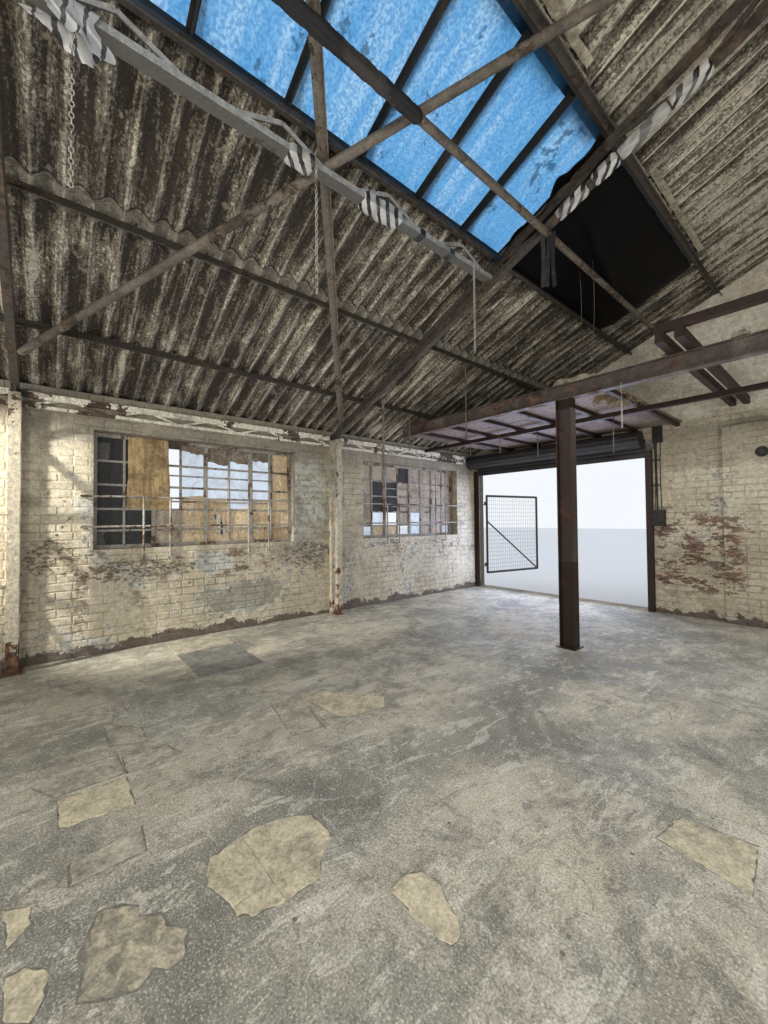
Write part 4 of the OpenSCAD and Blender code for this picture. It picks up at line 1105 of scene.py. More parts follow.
def roofPanes():
    # Each pane is a shallow bow: height = rise + bow * sine across it
    count = round((lightRear - lightFront) / light["gap"])
    step = (lightRear - lightFront) / count
    s1, s2 = light["topX"] / cosP + light["head"] + fit, light["lowX"] / cosP + light["curb"] + light["past"]
    parts, uvs, tones = [], [], []
    for k in range(count):
        y = lightFront + k * step + np.linspace(light["sideGap"], step - light["sideGap"], light["grid"])
        s = np.linspace(s1, s2 + draws.normal(0, 0.003), light["grid"])
        ys, ss = grid(y, s)
        n = glassRise + fit + light["bow"] * np.sin(np.pi * (ys - y[0]) / (y[-1] - y[0]))
        parts.append((onSlope(ss, ys, n).reshape(-1, 3), [gridFaces(len(y), len(s))[:, ::-1]]))
        uvs.append(np.stack([ys + draws.uniform(0, 30), ss + draws.uniform(0, 30)], axis=-1).reshape(-1, 2))
        tones.append(np.full(ys.size, draws.random()))
    return join(parts), np.concatenate(uvs), np.concatenate(tones)


paneMesh, paneUv, paneTone = roofPanes()
roofGlass = addPiece("roofPanes", bothSides(paneMesh), castGlass, smooth=True,
                     uv=np.tile(paneUv, (2, 1)), tone=np.tile(paneTone, 2), replaced=("roof_glass",))
thicken(roofGlass, light["thick"])

# Bolts of the sheets: the place of each row along X and the height of the crests there
bolts = {"every": 3, "washer": 0.014, "head": 0.006, "below": -0.016, "washerTop": 0.003, "headTop": 0.010}
boltRows = [(purlinX[1] - 0.03, 0.068), (purlinX[2] + 0.09, 0.069), (purlinX[3], 0.069), (purlinX[4], 0.061),
            (half + 0.06, 0.061)]


def roofBolts():
    # Heads with washers on every third crest along each row
    y = firstY + (np.arange(1, waves, bolts["every"]) + 0.5) * sheets["wave"]
    parts = []
    for x, n in boltRows:
        foot, top, tip = (onSlope(x / cosP, y, n + bolts[key]) for key in ("below", "washerTop", "headTop"))
        parts.append(prisms(ringOutline(bolts["washer"], 8), foot, top, up=(1, 0, 0)))
        parts.append(prisms(ringOutline(bolts["head"], 6), foot, tip, up=(1, 0, 0)))
    return join(parts)


addPiece("roofBolts", bothSides(roofBolts()), darkSteel)
print("roof light glazed")

# Window lights: thin bars between the mullions, and glass, a board, dark card or nothing in each light
lights = {
    "across": [-0.995, -0.769, -0.5125, -0.256, 0.0, 0.256, 0.5125, 0.769, 0.995],
    "up": [1.068, 1.23, 1.44, 1.675, 1.905, 2.158],
    "extra": [1.525, 1.80], "bar": 0.022, "deep": 0.028, "back": -0.034, "pane": 0.004, "foot": 1.06,
    "head": 2.165, "sideGap": 0.004, "endGap": 0.002, "set": -0.012,
}
# Rows from the top, one letter a light: g glass, d dark card, t tan board, p pinkish board, o open
plans = {
    0: ("pppdpppp", "pddppppp", "pddppppp", "pgopgppp", "gttogppg"),
    1: ("ddoggggt", "ddoggggt", "ddoggggt", "ddpttttt", "ddpttttt"),
}
kinds = {"g": ("windowPanes", dustyPane), "d": ("darkCards", darkPane), "t": ("tanBoards", tanBoard),
         "p": ("paleBoards", paleBoard)}


def windowLights(kind):
    # One thin box for each light of the kind, set at random within the depth of the bars
    parts = []
    for k in range(len(windowPlaces)):
        if k not in plans:
            plans[k] = ["".join(draws.choice(list("gggggtpd"), 8)) for _ in range(5)]
        lows, highs = [], []
        for row, line in enumerate(plans[k]):
            for column, letter in enumerate(line):
                if letter == kind:
                    back = lights["set"] - (draws.uniform(0, 0.012) if kind != "g" else 0)
                    left, right = (lights["across"][column + n] for n in (0, 1))
                    low, high = (lights["up"][n - row] for n in (4, 5))
                    lows.append((left + lights["sideGap"], back, low + lights["endGap"]))
                    highs.append((right - lights["sideGap"], back + lights["pane"], high - lights["endGap"]))
        if lows:
            parts.append(atWindows(*boxes(lows, highs), [k]))
    return join(parts)


def windowBars():
    # Uprights and crossbars between the lights, with two thinner bars across the middle lights
    b, front, deep = lights["bar"] / 2, lights["back"], lights["back"] + lights["deep"]
    upright, level = lights["across"][1:-1:2], lights["up"][1:-1]
    lows = [(a - b, front, lights["foot"]) for a in upright] + [(-1.0, front + 0.003, z - b) for z in level]
    highs = [(a + b, deep, lights["head"]) for a in upright] + [(1.0, deep - 0.003, z + b) for z in level]
    lows += [(-0.5, front - 0.004, z - 0.008) for z in lights["extra"]]
    highs += [(0.77, front + 0.012, z + 0.008) for z in lights["extra"]]
    return atWindows(*boxes(lows, highs))


addPiece("windowBars", windowBars(), frameSteel, bevel=0.002)
for kind, (name, material) in kinds.items():
    mesh = windowLights(kind)
    tone = perPiece(mesh, len(mesh[0]) // 8)
    addPiece(name, mesh, material, tone=tone, replaced=("window_glass",))

# What is fixed over the lights of the window beside the second column

def atWindow1(outline, depth, thick, step=0.03, amount=0.006):
    # A ragged flat piece inside the window: its outline is (across, height)
    flat = plate(ragged(outline, step, amount), (0, depth, 0), (1, 0, 0), (0, 0, 1), thick)
    return atWindows(*flat, where=[1])


plySheet = [(-0.757, 1.45), (-0.37, 1.44), (-0.36, 1.70), (-0.385, 2.163), (-0.74, 2.163), (-0.735, 1.8)]
addPiece("plywoodSheet", atWindow1(plySheet, -0.041, -0.011, 0.05, 0.003), plywood)
boardEdge = [(-0.25, 1.42), (0.765, 1.42), (0.765, 1.56), (0.5, 1.57), (0.5, 1.47), (0.27, 1.46), (0.25, 1.545),
             (0.0, 1.56), (-0.02, 1.60), (-0.25, 1.575)]
addPiece("boardEdges", atWindow1(boardEdge, -0.020, -0.004), tanBoard)
# Grime across the heads of four lights: its two sides and its lower edge
grimeLows = [(-0.25, 0.0, 2.05), (0.0, 0.25, 1.95), (0.26, 0.51, 1.975), (0.51, 0.765, 2.02)]
grime = [atWindow1([(a, low + 0.02), (b, low), (b, 2.16), (a, 2.16)], -0.016, -0.002, 0.02, 0.011)
         for a, b, low in grimeLows]
addPiece("grimeOnPanes", join(grime), grimeFilm)
cardEdge = [(-1.0, 1.06), (-0.93, 1.06), (-0.915, 1.35), (-0.955, 1.62), (-0.90, 1.85), (-0.885, 2.08),
            (-1.0, 2.08)]
addPiece("greyCardEdge", atWindow1(cardEdge, -0.02, -0.002, 0.02, 0.008), greyCard)
tapeEdge = np.array([(0, 1.39), (0.028, 1.385), (0.093, 1.17), (0.063, 1.165)])
tapes = [atWindow1(tapeEdge + [a, 0], -0.03, -0.001, 0.03, 0.002) for a in (0.09, 0.125)]
addPiece("tapeStrips", join(tapes), whiteWrap)
headEdge = [(-0.5, 2.085), (-0.262, 2.08), (-0.262, 2.16), (-0.5, 2.16)]
addPiece("darkHead", atWindow1(headEdge, -0.012, 0.004, 0.05, 0.004), darkPane)
print("windows filled")


# Packing strips: rows along the light's upper edge, each with its place along X, width and share that is left
packing = {"rows": [(0.955, 0.05, 0.9), (1.012, 0.022, 0.8)], "first": 0.05, "last": 0.3, "thick": 0.003}


def packingStrips():
    # Torn strips nailed under the sheets: flat plates on the slope, end to end along Y
    parts = []
    for x, wide, share in packing["rows"]:
        y = lightFront + packing["first"]
        while y < lightRear - packing["last"]:
            long = draws.uniform(0.22, 0.85)
            if draws.random() < share:
                outline = ragged([(0, 0), (long, 0), (long, wide), (0, wide)], 0.03, wide * 0.09)
                start = onSlope(x / cosP, y, 0.0004 - draws.uniform(0.0, 0.002))
                parts.append(plate(outline, start, (0, 1, 0), (cosP, 0, -sinP), packing["thick"]))
            y += long + draws.uniform(0.004, 0.05)
    return join(parts)


addPiece("packingStrips", bothSides(packingStrips()), plasterLump)

# Black plastic sheeting under the first bay of the east roof light, sagging between the purlins
drape = {"rearY": frontIn + 3.25, "frontY": lightFront - 0.11, "sag": 0.095, "rows": 56, "columns": 90}


def blackSheeting():
    # Height under the roof plane = sag * sine across + ripples that grow towards the hanging rear edge
    u, v = grid(np.linspace(0, 1, drape["rows"]), np.linspace(0, 1, drape["columns"]))
    s = (light["topX"] + 0.045 + u * (light["lowX"] - light["topX"] - 0.03)) / cosP
    y = drape["frontY"] + v * (drape["rearY"] - drape["frontY"]) + 0.04 * np.sin(5 * u + 1) * v
    y += 0.14 * np.clip((u - 0.86) / 0.14, 0, 1) * np.clip(1 - 6 * v, 0, 1)
    belly = np.sin(np.pi * u) ** 0.7
    fold = 0.020 * np.sin(9 * u + 4.2 * v + 1.3) + 0.012 * np.sin(21 * u - 7 * v)
    fold += 0.006 * np.sin(34 * v + 11 * u)
    crease = 0.05 * np.exp(-((u - 0.25 - 0.5 * (1 - v)) / 0.05) ** 2) * v
    sag = drape["sag"] * (0.06 + 0.30 * u + 0.64 * np.sin(np.pi * v) ** 0.6)
    drop = -0.004 - belly * (sag + 0.6 * fold * (0.1 + v) + crease)
    drop -= 0.16 * np.clip((v - 0.93) / 0.07, 0, 1) ** 1.5 * (0.7 + 0.3 * np.sin(15 * u))
    drop *= np.clip(0.25 + v / 0.07, 0, 1)
    points = onSlope(s, y, np.minimum(drop, -0.002)).reshape(-1, 3)
    return points, [gridFaces(drape["rows"], drape["columns"])]


curtain = addPiece("blackSheeting", blackSheeting(), blackSheet, smooth=True,
                   replaced=("black_sheeting",))

# Pieces along the laced angle under the middle purlin: wraps of plastic and tape, a rag, chains
boom = {"heelX": purlinX[2] - 0.009, "low": roofZ(purlinX[2]) - 0.212, "wide": 0.075, "high": 0.038}
# Corners of the angle's section; a run along -Y has +X on its left, so the wide leg goes to the left
boomCorners = [(0, 0), (-boom["wide"], 0), (0, boom["high"])]


def wrapRound(start, end, corners, fat, twist):
    # A loose wrap: in each direction the furthest corner of the bar plus an uneven thickness that way
    start, end, corners = (np.asarray(v, float) for v in (start, end, corners))
    count = int(np.linalg.norm(end - start) / 0.008)
    i, j = grid(np.arange(count + 1), np.arange(20))
    angle = j * 2 * np.pi / 20
    way = np.stack([np.cos(angle), np.sin(angle)], axis=-1)
    held = corners[np.argmax(way @ corners.T, axis=-1)]
    bunch = 0.5 * np.abs(np.sin(i * 0.21 + twist)) * np.abs(np.sin(i * 0.053))
    puff = fat * (0.35 + 0.4 * np.sin(3 * angle + twist * i * 0.05) ** 2 + bunch)
    puff = puff + fat * 0.25 * draws.random(puff.shape)
    edge = np.clip(np.minimum(i, count - i) / 2.0, 0.12, 1)
    along = (end - start) / np.linalg.norm(end - start)
    right = np.cross(along, [0, 0, 1.0])
    right /= np.linalg.norm(right)
    upward = np.cross(right, along)
    ring = held + (0.0015 + puff * edge)[..., None] * way
    points = start + (i / count)[..., None] * (end - start) + ring[..., :1] * right + ring[..., 1:] * upward
    faces = gridFaces(count + 1, 20, False, True)
    total = (count + 1) * 20
    return points.reshape(-1, 3), [faces, np.arange(20)[None], (total - 1 - np.arange(20))[None]]


heelX, boomLow = boom["heelX"], boom["low"]
# Height of the middle of the lower chord, which rises towards the ridge
chordZ = lambda x: tieZ + 0.0497 + (tieX + 0.025 - x) * 0.3823
rafterY = frontIn + bay
chordCorners = [(-0.025, -0.0225), (0.025, -0.0225), (0.025, 0.0225), (-0.025, 0.0225)]
tubeCorners = ringOutline(0.025, 12)


def boomRun(a, b, fat, twist):
    # A wrap on the angle between two places along Y
    return wrapRound((heelX, a, boomLow), (heelX, b, boomLow), boomCorners, fat, twist)


def chordRun(a, b, fat, twist):
    # A wrap on the lower chord of the first rafter between two places along X
    return wrapRound((a, rafterY, chordZ(a)), (b, rafterY, chordZ(b)), chordCorners, fat, twist)


# Each wrap by its start and end along the bar, its thickness and the number that twists it
wraps = {
    "boom": [(-2.60, -2.92, 0.019, 0), (-2.08, -2.24, 0.014, 1)],
    "chord": [(1.42, 1.20, 0.008, 2), (1.16, 1.00, 0.013, 3), (0.70, 0.50, 0.012, 4)],
    "plain": (0.99, 0.71, 0.007, 5), "tape": [(-3.10, -3.15, 0.003, 0), (-3.42, -3.47, 0.003, 1)],
    "sleeveFront": -2.6, "sleeveThick": 0.010,
}
plasticWraps = [boomRun(*run) for run in wraps["boom"]] + [chordRun(*run) for run in wraps["chord"]]
addPiece("plasticWraps", join(plasticWraps), whiteWrap, smooth=True)
addPiece("plainWrap", chordRun(*wraps["plain"]), greyWrap, smooth=True)
addPiece("tapeRounds", join([boomRun(*run) for run in wraps["tape"]]), blackTape, smooth=True)
sleeveEnds = [(tieX, y, tieZ) for y in (wraps["sleeveFront"], frontIn + 3 * bay - 0.05)]
sleeve = wrapRound(*sleeveEnds, tubeCorners, wraps["sleeveThick"], 1)
addPiece("pipeSleeve", sleeve, foamSleeve, smooth=True)


# Rag: its front edge and width along Y, the share that lies over the angle and how far each side hangs
cloth = {"front": -1.20, "wide": 0.20, "over": 0.28, "east": 0.15, "west": 0.21, "bend": 0.048, "rows": 61,
         "columns": 31}


def ragMesh():
    # A cloth over the angle: half a turn round it, then each side hangs with folds that widen downwards
    u, v = grid(np.linspace(-1, 1, cloth["rows"]), np.linspace(0, 1, cloth["columns"]))
    side = np.sign(u)
    free = np.clip(np.abs(u) - cloth["over"], 0, 1) * np.where(u > 0, cloth["east"], cloth["west"])
    hang = free * (0.75 + 0.35 * np.sin(4 * v + 1))
    turn = np.clip(np.abs(u) / cloth["over"], 0, 1) * np.pi / 2
    fold = (0.026 * np.sin(13 * v + 3 * np.abs(u)) + 0.018 * np.sin(27 * v + 1.7 * side)) * hang / 0.2
    x = heelX + 0.034 + side * (cloth["bend"] * np.sin(turn) + np.maximum(fold, -0.002) + 0.08 * hang)
    y = cloth["front"] + cloth["wide"] * v + 0.16 * (v - 0.5) * hang / 0.2 + 0.02 * np.sin(9 * u)
    z = boomLow + 0.016 + cloth["bend"] * np.cos(turn) - hang
    return np.stack([x, y, z], axis=-1).reshape(-1, 3), [gridFaces(cloth["rows"], cloth["columns"])]


rag = addPiece("ragOnPipe", ragMesh(), ragCloth, smooth=True)
print("sheeting and wraps hung")


# Hangers of the platform, the pipe that hangs from the first rafter, and chains of links
hanging = {
    "chains": [(-1.13, 2.625), (-2.24, 2.60), (-3.70, 2.635)], "wire": 0.0024, "long": 0.028, "wide": 0.018,
    "rod": 0.008, "nut": 0.016, "nutHigh": 0.014, "pipeAside": 1.087, "pipeTop": 0.31, "pipe": 0.014,
    "collar": 0.019, "collars": (1.01, 1.62), "collarHigh": 0.05, "below": 0.2, "under": 0.15, "over": 0.02,
    "fromTop": 0.07, "seat": 0.02, "postChain": (1.296, 2.06, 0.0018, 0.024, 0.014),
}


def chain(x, y, top, foot, wire=hanging["wire"], long=hanging["long"], wide=hanging["wide"]):
    # Oval links by cosine and sine, every second one turned by a right angle
    a = np.arange(10) * 2 * np.pi / 10
    across, upright = (wide - wire) / 2 * np.cos(a), (long - wire) / 2 * np.sin(a)
    flat = pipe(np.stack([across, 0 * a, upright], axis=1), wire, 5, True, up=(0.0, 1.0, 0.05))
    turned = pipe(np.stack([0 * a, across, upright], axis=1), wire, 5, True, up=(1.0, 0.0, 0.05))
    pitch = long - 2 * wire
    count = int((top - foot) / pitch)
    links = [flat if k % 2 else turned for k in range(count)]
    return join([(link[0] + [x, y, top - long / 2 - k * pitch], link[1]) for k, link in enumerate(links)])


boxLow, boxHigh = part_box("main_beam")
beamLow, beamTop, beamRear = boxLow.z, boxHigh.z, boxHigh.y
hangY = beamRear + 0.0083


def hangerRods():
    # Rods with a nut under and over the beam's cleat and under the purlin; the pipe has two collars
    parts = []
    for _, side in sides:
        for x in (purlinX[3], purlinX[4]):
            foot, top = beamLow - hanging["below"], roofZ(x) - hanging["seat"]
            parts.append(pipe([(side * x, hangY, foot), (side * x, hangY, top)], hanging["rod"], 10))
            for z in (beamLow - hanging["under"], beamLow + hanging["over"], top - hanging["fromTop"]):
                nut = [(side * x, hangY, z), (side * x, hangY, z + hanging["nutHigh"])]
                parts.append(pipe(nut, hanging["nut"], 6))
    x = half - hanging["pipeAside"]
    foot, top = floorTop + hanging["collars"][0], roofZ(x) - hanging["pipeTop"]
    for _, side in sides:
        parts.append(pipe([(side * x, rafterY, foot), (side * x, rafterY, top)], hanging["pipe"], 12))
        for up in hanging["collars"]:
            collar = [(side * x, rafterY, floorTop + up + n * hanging["collarHigh"]) for n in (0, 1)]
            parts.append(pipe(collar, hanging["collar"], 12))
    return join(parts)


addPiece("hangerRods", hangerRods(), greySteel, replaced=("hangers",))
chains = [chain(heelX - 0.008, y, boomLow + boom["high"] + 0.006, foot) for y, foot in hanging["chains"]]
x, foot, *link = hanging["postChain"]
chains.append(chain(x, beamRear + 0.006, beamLow + hanging["over"], foot, *link))
addPiece("chains", join(chains), brightSteel, replaced=("hangers",))

# Platform: separate boards on the joists, some slipped, with gaps between them
boardsLow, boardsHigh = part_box("ceiling_boards")
boards = {"rows": 4, "long": (0.55, 1.2), "least": 0.02, "slip": 0.004, "endGap": 0.003, "frontGap": 0.004,
          "rearGap": (0.002, 0.014), "thinner": 0.005}


def ceilingPlanks():
    # Boards across the joists in rows from front to back, broken at random lengths
    lows, highs = [], []
    rows = np.linspace(boardsLow.y, boardsHigh.y, boards["rows"] + 1)
    for front, rear in zip(rows, rows[1:]):
        x = boardsLow.x
        while x < boardsHigh.x - boards["least"]:
            end = min(x + draws.uniform(*boards["long"]), boardsHigh.x)
            z = boardsLow.z + draws.uniform(0, boards["slip"])
            lows.append((x + boards["endGap"], front + boards["frontGap"], z))
            top = z + boardsHigh.z - boardsLow.z - boards["thinner"]
            highs.append((end - boards["endGap"], rear - draws.uniform(*boards["rearGap"]), top))
            x = end
    return boxes(lows, highs)


planks = ceilingPlanks()
addPiece("ceilingPlanks", planks, pinkBoard, tone=perPiece(planks, len(planks[0]) // 8),
         replaced=("ceiling_boards",), bevel=0.002)

# Lumps on the main beam: place along X, distance from the rear edge, half width, half depth, height
lumps = [(1.73, 0.05, 0.17, 0.06, 0.05), (1.60, 0.045, 0.10, 0.05, 0.03), (0.98, 0.04, 0.06, 0.04, 0.025),
         (0.53, 0.03, 0.05, 0.05, 0.04)]


def rubble():
    # Each lump of plaster is a ragged rectangle with its top ring drawn in and uneven
    parts = []
    for x, back, w, d, h in lumps:
        y = beamRear - back
        ring = ragged([(x - w, y - d), (x + w, y - d), (x + w, y + d), (x - w, y + d)], 0.03, 0.008)
        points, faces = mesa(ring, h, 0.02, beamTop)
        points[len(ring):, 2] += draws.normal(0, 0.006, len(ring))
        parts.append((points, faces))
    return join(parts)


addPiece("plasterLumps", rubble(), plasterLump)

# Short hangers under the cross beam, each by its place along X and the height of its foot, and two wires
shortRods = {"places": [(3.126, 2.204), (2.583, 2.087), (1.711, 2.012), (3.62, 2.25)], "behind": 1.356,
             "rod": 0.005, "wires": (1.645, 1.53), "wire": 0.0022}


def smallRods():
    # Straight rods, and wires from the sheets to the lump on the beam: they sway by a sine of the height
    crossLow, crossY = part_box("cross_beams")[0].z, frontIn + shortRods["behind"]
    rods = [pipe([(x, crossY, foot), (x, crossY, crossLow + 0.02)], shortRods["rod"], 8)
            for x, foot in shortRods["places"]]
    sway = np.linspace(0, 1, 12)
    for x in shortRods["wires"]:
        low = beamTop + 0.02
        height = low + sway * (roofZ(x) - 0.002 - low)
        line = np.stack([x + 0.012 * np.sin(5 * sway + x), np.full(len(sway), beamRear - 0.04), height], 1)
        rods.append(pipe(line, shortRods["wire"], 6))
    return join(rods)


addPiece("smallRods", smallRods(), greySteel, smooth=True)

# Straw under the platform: each tuft by its place, size and number of strands
tufts = {"places": [(1.60, -5.20, 0.10, 110), (1.50, -5.33, 0.13, 170), (1.46, -5.50, 0.10, 90)],
         "below": 0.004, "strand": 0.0022}


def strawTuft(x, y, z, size, count):
    # Short strands that start round the middle and fall outwards: the drop grows with the square of the way
    parts = []
    for _ in range(count):
        a, reach = draws.uniform(0, 2 * np.pi), draws.uniform(0.3, 1.0) * size
        t = np.linspace(0, 1, 5)[:, None]
        out = np.array([np.cos(a), 0.5 * np.sin(a), 0.0])
        start = np.array([x, y, z]) + draws.normal(0, size * 0.25, 3) * [1, 0.5, 0.3]
        fall = reach * draws.uniform(0.2, 0.9) * t ** 2
        parts.append(pipe(start + out * reach * t - fall * np.array([0, 0, 1.0]), tufts["strand"], 3))
    return join(parts)


tuftMeshes = [strawTuft(x, y, boardsLow.z - tufts["below"], size, n) for x, y, size, n in tufts["places"]]
addPiece("strawPacking", join(tuftMeshes), straw)
print("platform dressed")

# Roller shutter: slats wound on the coil and hanging to the bottom rail
shutLow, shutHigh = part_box("roller_shutter")
slats = {
    "pitch": 0.076, "aside": 0.024, "bow": 0.013, "ridge": 0.010, "coilGap": 0.064, "coilUnder": 0.011,
    "coilWaves": 5, "rail": 0.06, "railFront": 0.008, "railBack": 0.022, "endGap": 0.072, "steps": 90,
    "coilSteps": 120,
}


def shutterSlats():
    # Closed outlines in (-Y, Z) carried along X: a bow for each slat of the curtain, a ridge on the coil
    coilR = (shutHigh.y - frontIn - slats["coilGap"]) / 2
    coilY, coilZ = shutHigh.y - coilR, shutHigh.z - coilR
    slatY, railTop = frontIn + slats["aside"], shutLow.z + slats["rail"]
    z = np.linspace(shutLow.z + 0.05, coilZ + 0.02, slats["steps"])
    front = slatY + 0.004 + slats["bow"] * np.abs(np.sin(np.pi * (z - shutLow.z) / slats["pitch"])) ** 0.7
    curtainLine = np.concatenate([np.stack([-front, z], 1), np.stack([0 * z - slatY + 0.001, z], 1)[::-1]])
    angle = np.linspace(0, 2 * np.pi, slats["coilSteps"], endpoint=False)
    r = coilR - slats["coilUnder"] + slats["ridge"] * np.abs(np.sin(angle * slats["coilWaves"])) ** 0.7
    coilLine = np.stack([-coilY + r * np.cos(angle), coilZ + r * np.sin(angle)], 1)
    back, ahead = -slatY - slats["railBack"], -slatY + slats["railFront"]
    railLine = [(back, shutLow.z), (ahead, shutLow.z), (ahead, railTop), (back, railTop)]
    x1, x2 = shutLow.x, shutHigh.x
    runs = ((curtainLine, x2 - slats["endGap"]), (coilLine, x2), (railLine, x2 - slats["endGap"]))
    return join([prisms(line, [(x1, 0, 0)], [(end, 0, 0)]) for line, end in runs])


addPiece("shutterCurtain", shutterSlats(), shutterSteel, replaced=("roller_shutter",))

# Gate leaves: welded wire mesh on the frame, riding with each leaf
gateWire = {"wire": 0.0015, "across": 0.05, "up": 0.075, "inset": 0.066, "edge": 0.03}


def gateMesh(pin, turn, name):
    # Wires along the leaf and upright wires, all within the frame's tubes
    along = np.array([math.cos(turn), math.sin(turn), 0.0])
    low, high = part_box(name)
    length = (pin[1] - low.y) / abs(along[1]) - gateWire["edge"]
    z0, z1 = low.z + gateWire["edge"], high.z - gateWire["edge"]
    lines = [(gateWire["inset"], z, length, z) for z in np.arange(z0, z1, gateWire["up"])]
    lines += [(a, z0, a, z1) for a in np.arange(gateWire["inset"], length, gateWire["across"])]
    start = np.array([[pin[0] + a * along[0], pin[1] + a * along[1], z] for a, z, _, _ in lines])
    end = np.array([[pin[0] + b * along[0], pin[1] + b * along[1], z] for _, _, b, z in lines])
    return prisms(ringOutline(gateWire["wire"], 4), start, end, up=(0.3, 0.2, 0.9))


for joint, leafTurn in (("east_gate_hinge", math.radians(180 + 78)), ("west_gate_hinge", math.radians(-78))):
    pin = [j for j in frame["record"]["behaviour"]["joints"] if j["name"] == joint][0]
    child = pin["child"]
    mesh = gateMesh(pin["pos_m"], leafTurn, child)
    addPiece(child.replace("_gate", "") + "GateMesh", mesh, gateSteel, body=child)
print("shutter and gates made")

# Patches on the floor: low mortar fills with worn edges, cover plates and crumbs, each outline in (x, y)
patches = {
    "tan": [
        [(2.27, -1.11), (2.27, -1.37), (2.02, -1.37), (2.06, -1.11)],
        [(1.02, -1.93), (1.03, -2.01), (1.0, -2.06), (0.93, -2.08), (0.88, -2.05), (0.8, -2.02), (0.77, -1.99),
         (0.77, -1.95), (0.8, -1.94), (0.92, -1.93)],
        [(0.53, -2.83), (0.50, -3.03), (0.27, -3.07), (0.25, -2.79)],
        [(1.49, -0.99), (1.49, -1.03), (1.44, -1.08), (1.37, -1.08), (1.31, -1.05), (1.36, -0.99)],
        [(1.75, -0.97), (1.71, -1.04), (1.63, -1.04), (1.57, -0.99)],
        [(1.48, -1.5), (1.53, -1.52), (1.56, -1.65), (1.57, -1.7), (1.54, -1.82), (1.48, -1.91), (1.39, -1.92),
         (1.32, -1.91), (1.28, -1.84), (1.2, -1.78), (1.2, -1.66), (1.22, -1.57), (1.25, -1.52), (1.33, -1.51),
         (1.42, -1.48)],
        [(2.48, -2.40), (2.5, -2.59), (2.13, -2.85), (2.01, -2.75), (2.05, -2.49), (2.11, -2.45)],
    ],
    "grey": [
        [(2.52, -2.2), (2.52, -2.385), (2.05, -2.36), (2.08, -2.13)],
        [(2.93, -1.34), (2.75, -1.51), (2.55, -1.50), (2.63, -1.33)],
        [(2.53, -0.98), (2.52, -1.36), (2.30, -1.37), (2.30, -1.10)],
        [(1.82, -1.13), (1.87, -1.37), (1.71, -1.36), (1.71, -1.13)],
        [(2.48, -1.37), (2.44, -1.58), (2.32, -1.62), (2.29, -1.37)],
    ],
    "spotted": [
        [(1.29, -1.13), (1.36, -1.145), (1.43, -1.14), (1.50, -1.175), (1.55, -1.2), (1.53, -1.26),
         (1.49, -1.3), (1.45, -1.29), (1.42, -1.35), (1.36, -1.36), (1.31, -1.4), (1.23, -1.37), (1.22, -1.33),
         (1.25, -1.30), (1.22, -1.26), (1.25, -1.19)],
    ],
    "plate": [[(3.31, -1.98), (3.31, -2.50), (4.01, -2.50), (4.01, -1.98)]],
    "cover": [[(4.025, -1.98), (4.025, -2.50), (4.50, -2.50), (4.50, -1.98)]],
}
# Cracks and joints: a run of places, its width and its height above the floor
cracks = [
    ([(1.557, -1.646), (1.201, -1.657)], 0.0022, 0.0024),
    ([(1.285, -1.523), (1.304, -1.693), (1.30, -1.866)], 0.0022, 0.0024),
    ([(1.479, -1.905), (1.347, -1.913)], 0.002, 0.0024),
    ([(2.264, -2.354), (2.024, -2.315)], 0.012, 0.002),
    ([(0.81, -2.98), (0.65, -3.04), (0.54, -3.06), (0.39, -3.14), (0.27, -3.18)], 0.003, 0.0006),
    ([(2.44, -4.08), (2.27, -4.41), (1.94, -4.56), (1.83, -4.77)], 0.006, 0.0006),
    ([(0.93, -3.33), (0.80, -3.14), (0.69, -3.18), (0.56, -3.11)], 0.003, 0.0006),
    ([(2.0, -1.40), (1.86, -1.75), (1.92, -2.1), (1.75, -2.4)], 0.0025, 0.0006),
    ([(3.3, -3.1), (2.9, -3.6), (3.0, -4.3), (2.6, -5.0), (2.7, -5.9)], 0.003, 0.0006),
    ([(-2.2, -4.5), (-1.2, -3.6), (-0.4, -3.7), (0.3, -3.2)], 0.003, 0.0006),
    ([(-3.9, 2.2), (-2.2, 1.6), (-0.9, 2.3), (1.1, 1.7), (2.9, 2.4)], 0.004, 0.0006),
]
darkGap = boardMaterial("darkGap", (0.16, 0.15, 0.12), (0.12, 0.112, 0.09), (0.21, 0.195, 0.155), 6.0)
rims = []


def rim(outline, wide):
    # The open joint round a patch: its outline pushed outwards from the middle, a hair above the floor
    outline = np.asarray(outline, float)
    away = outline - outline.mean(0)
    outer = outline + away * (wide / np.linalg.norm(away, axis=1, keepdims=True))
    return mesa(ragged(outer, 0.02, 0.0007), 0.0004, 0.001, floorTop)


spottedMortar = boardMaterial("spottedMortar", (0.42, 0.37, 0.26), (0.22, 0.20, 0.15), (0.13, 0.12, 0.095),
                              14.0, 22.0)
# Material, height, width of the worn edge, and how far the outline is shaken
patchLooks = {
    "spotted": (spottedMortar, 0.0008, 0.012, 0.0042), "tan": (tanMortar, 0.0014, 0.008, 0.0042),
    "grey": (greyMortar, 0.0010, 0.010, 0.0042), "plate": (coverPlate, 0.006, 0.002, 0.0008),
    "cover": (greyMortar, 0.007, 0.002, 0.0008),
}
for kind, outlines in patches.items():
    material, height, edge, shake = patchLooks[kind]
    parts = [mesa(ragged(outline, 0.014, shake), height * draws.uniform(0.8, 1.3), edge, floorTop)
             for outline in outlines]
    addPiece(kind + "Patches", join(parts), material)
    rims += [rim(outline, 0.0012) for outline in outlines]
addPiece("patchRims", join(rims), darkGap)


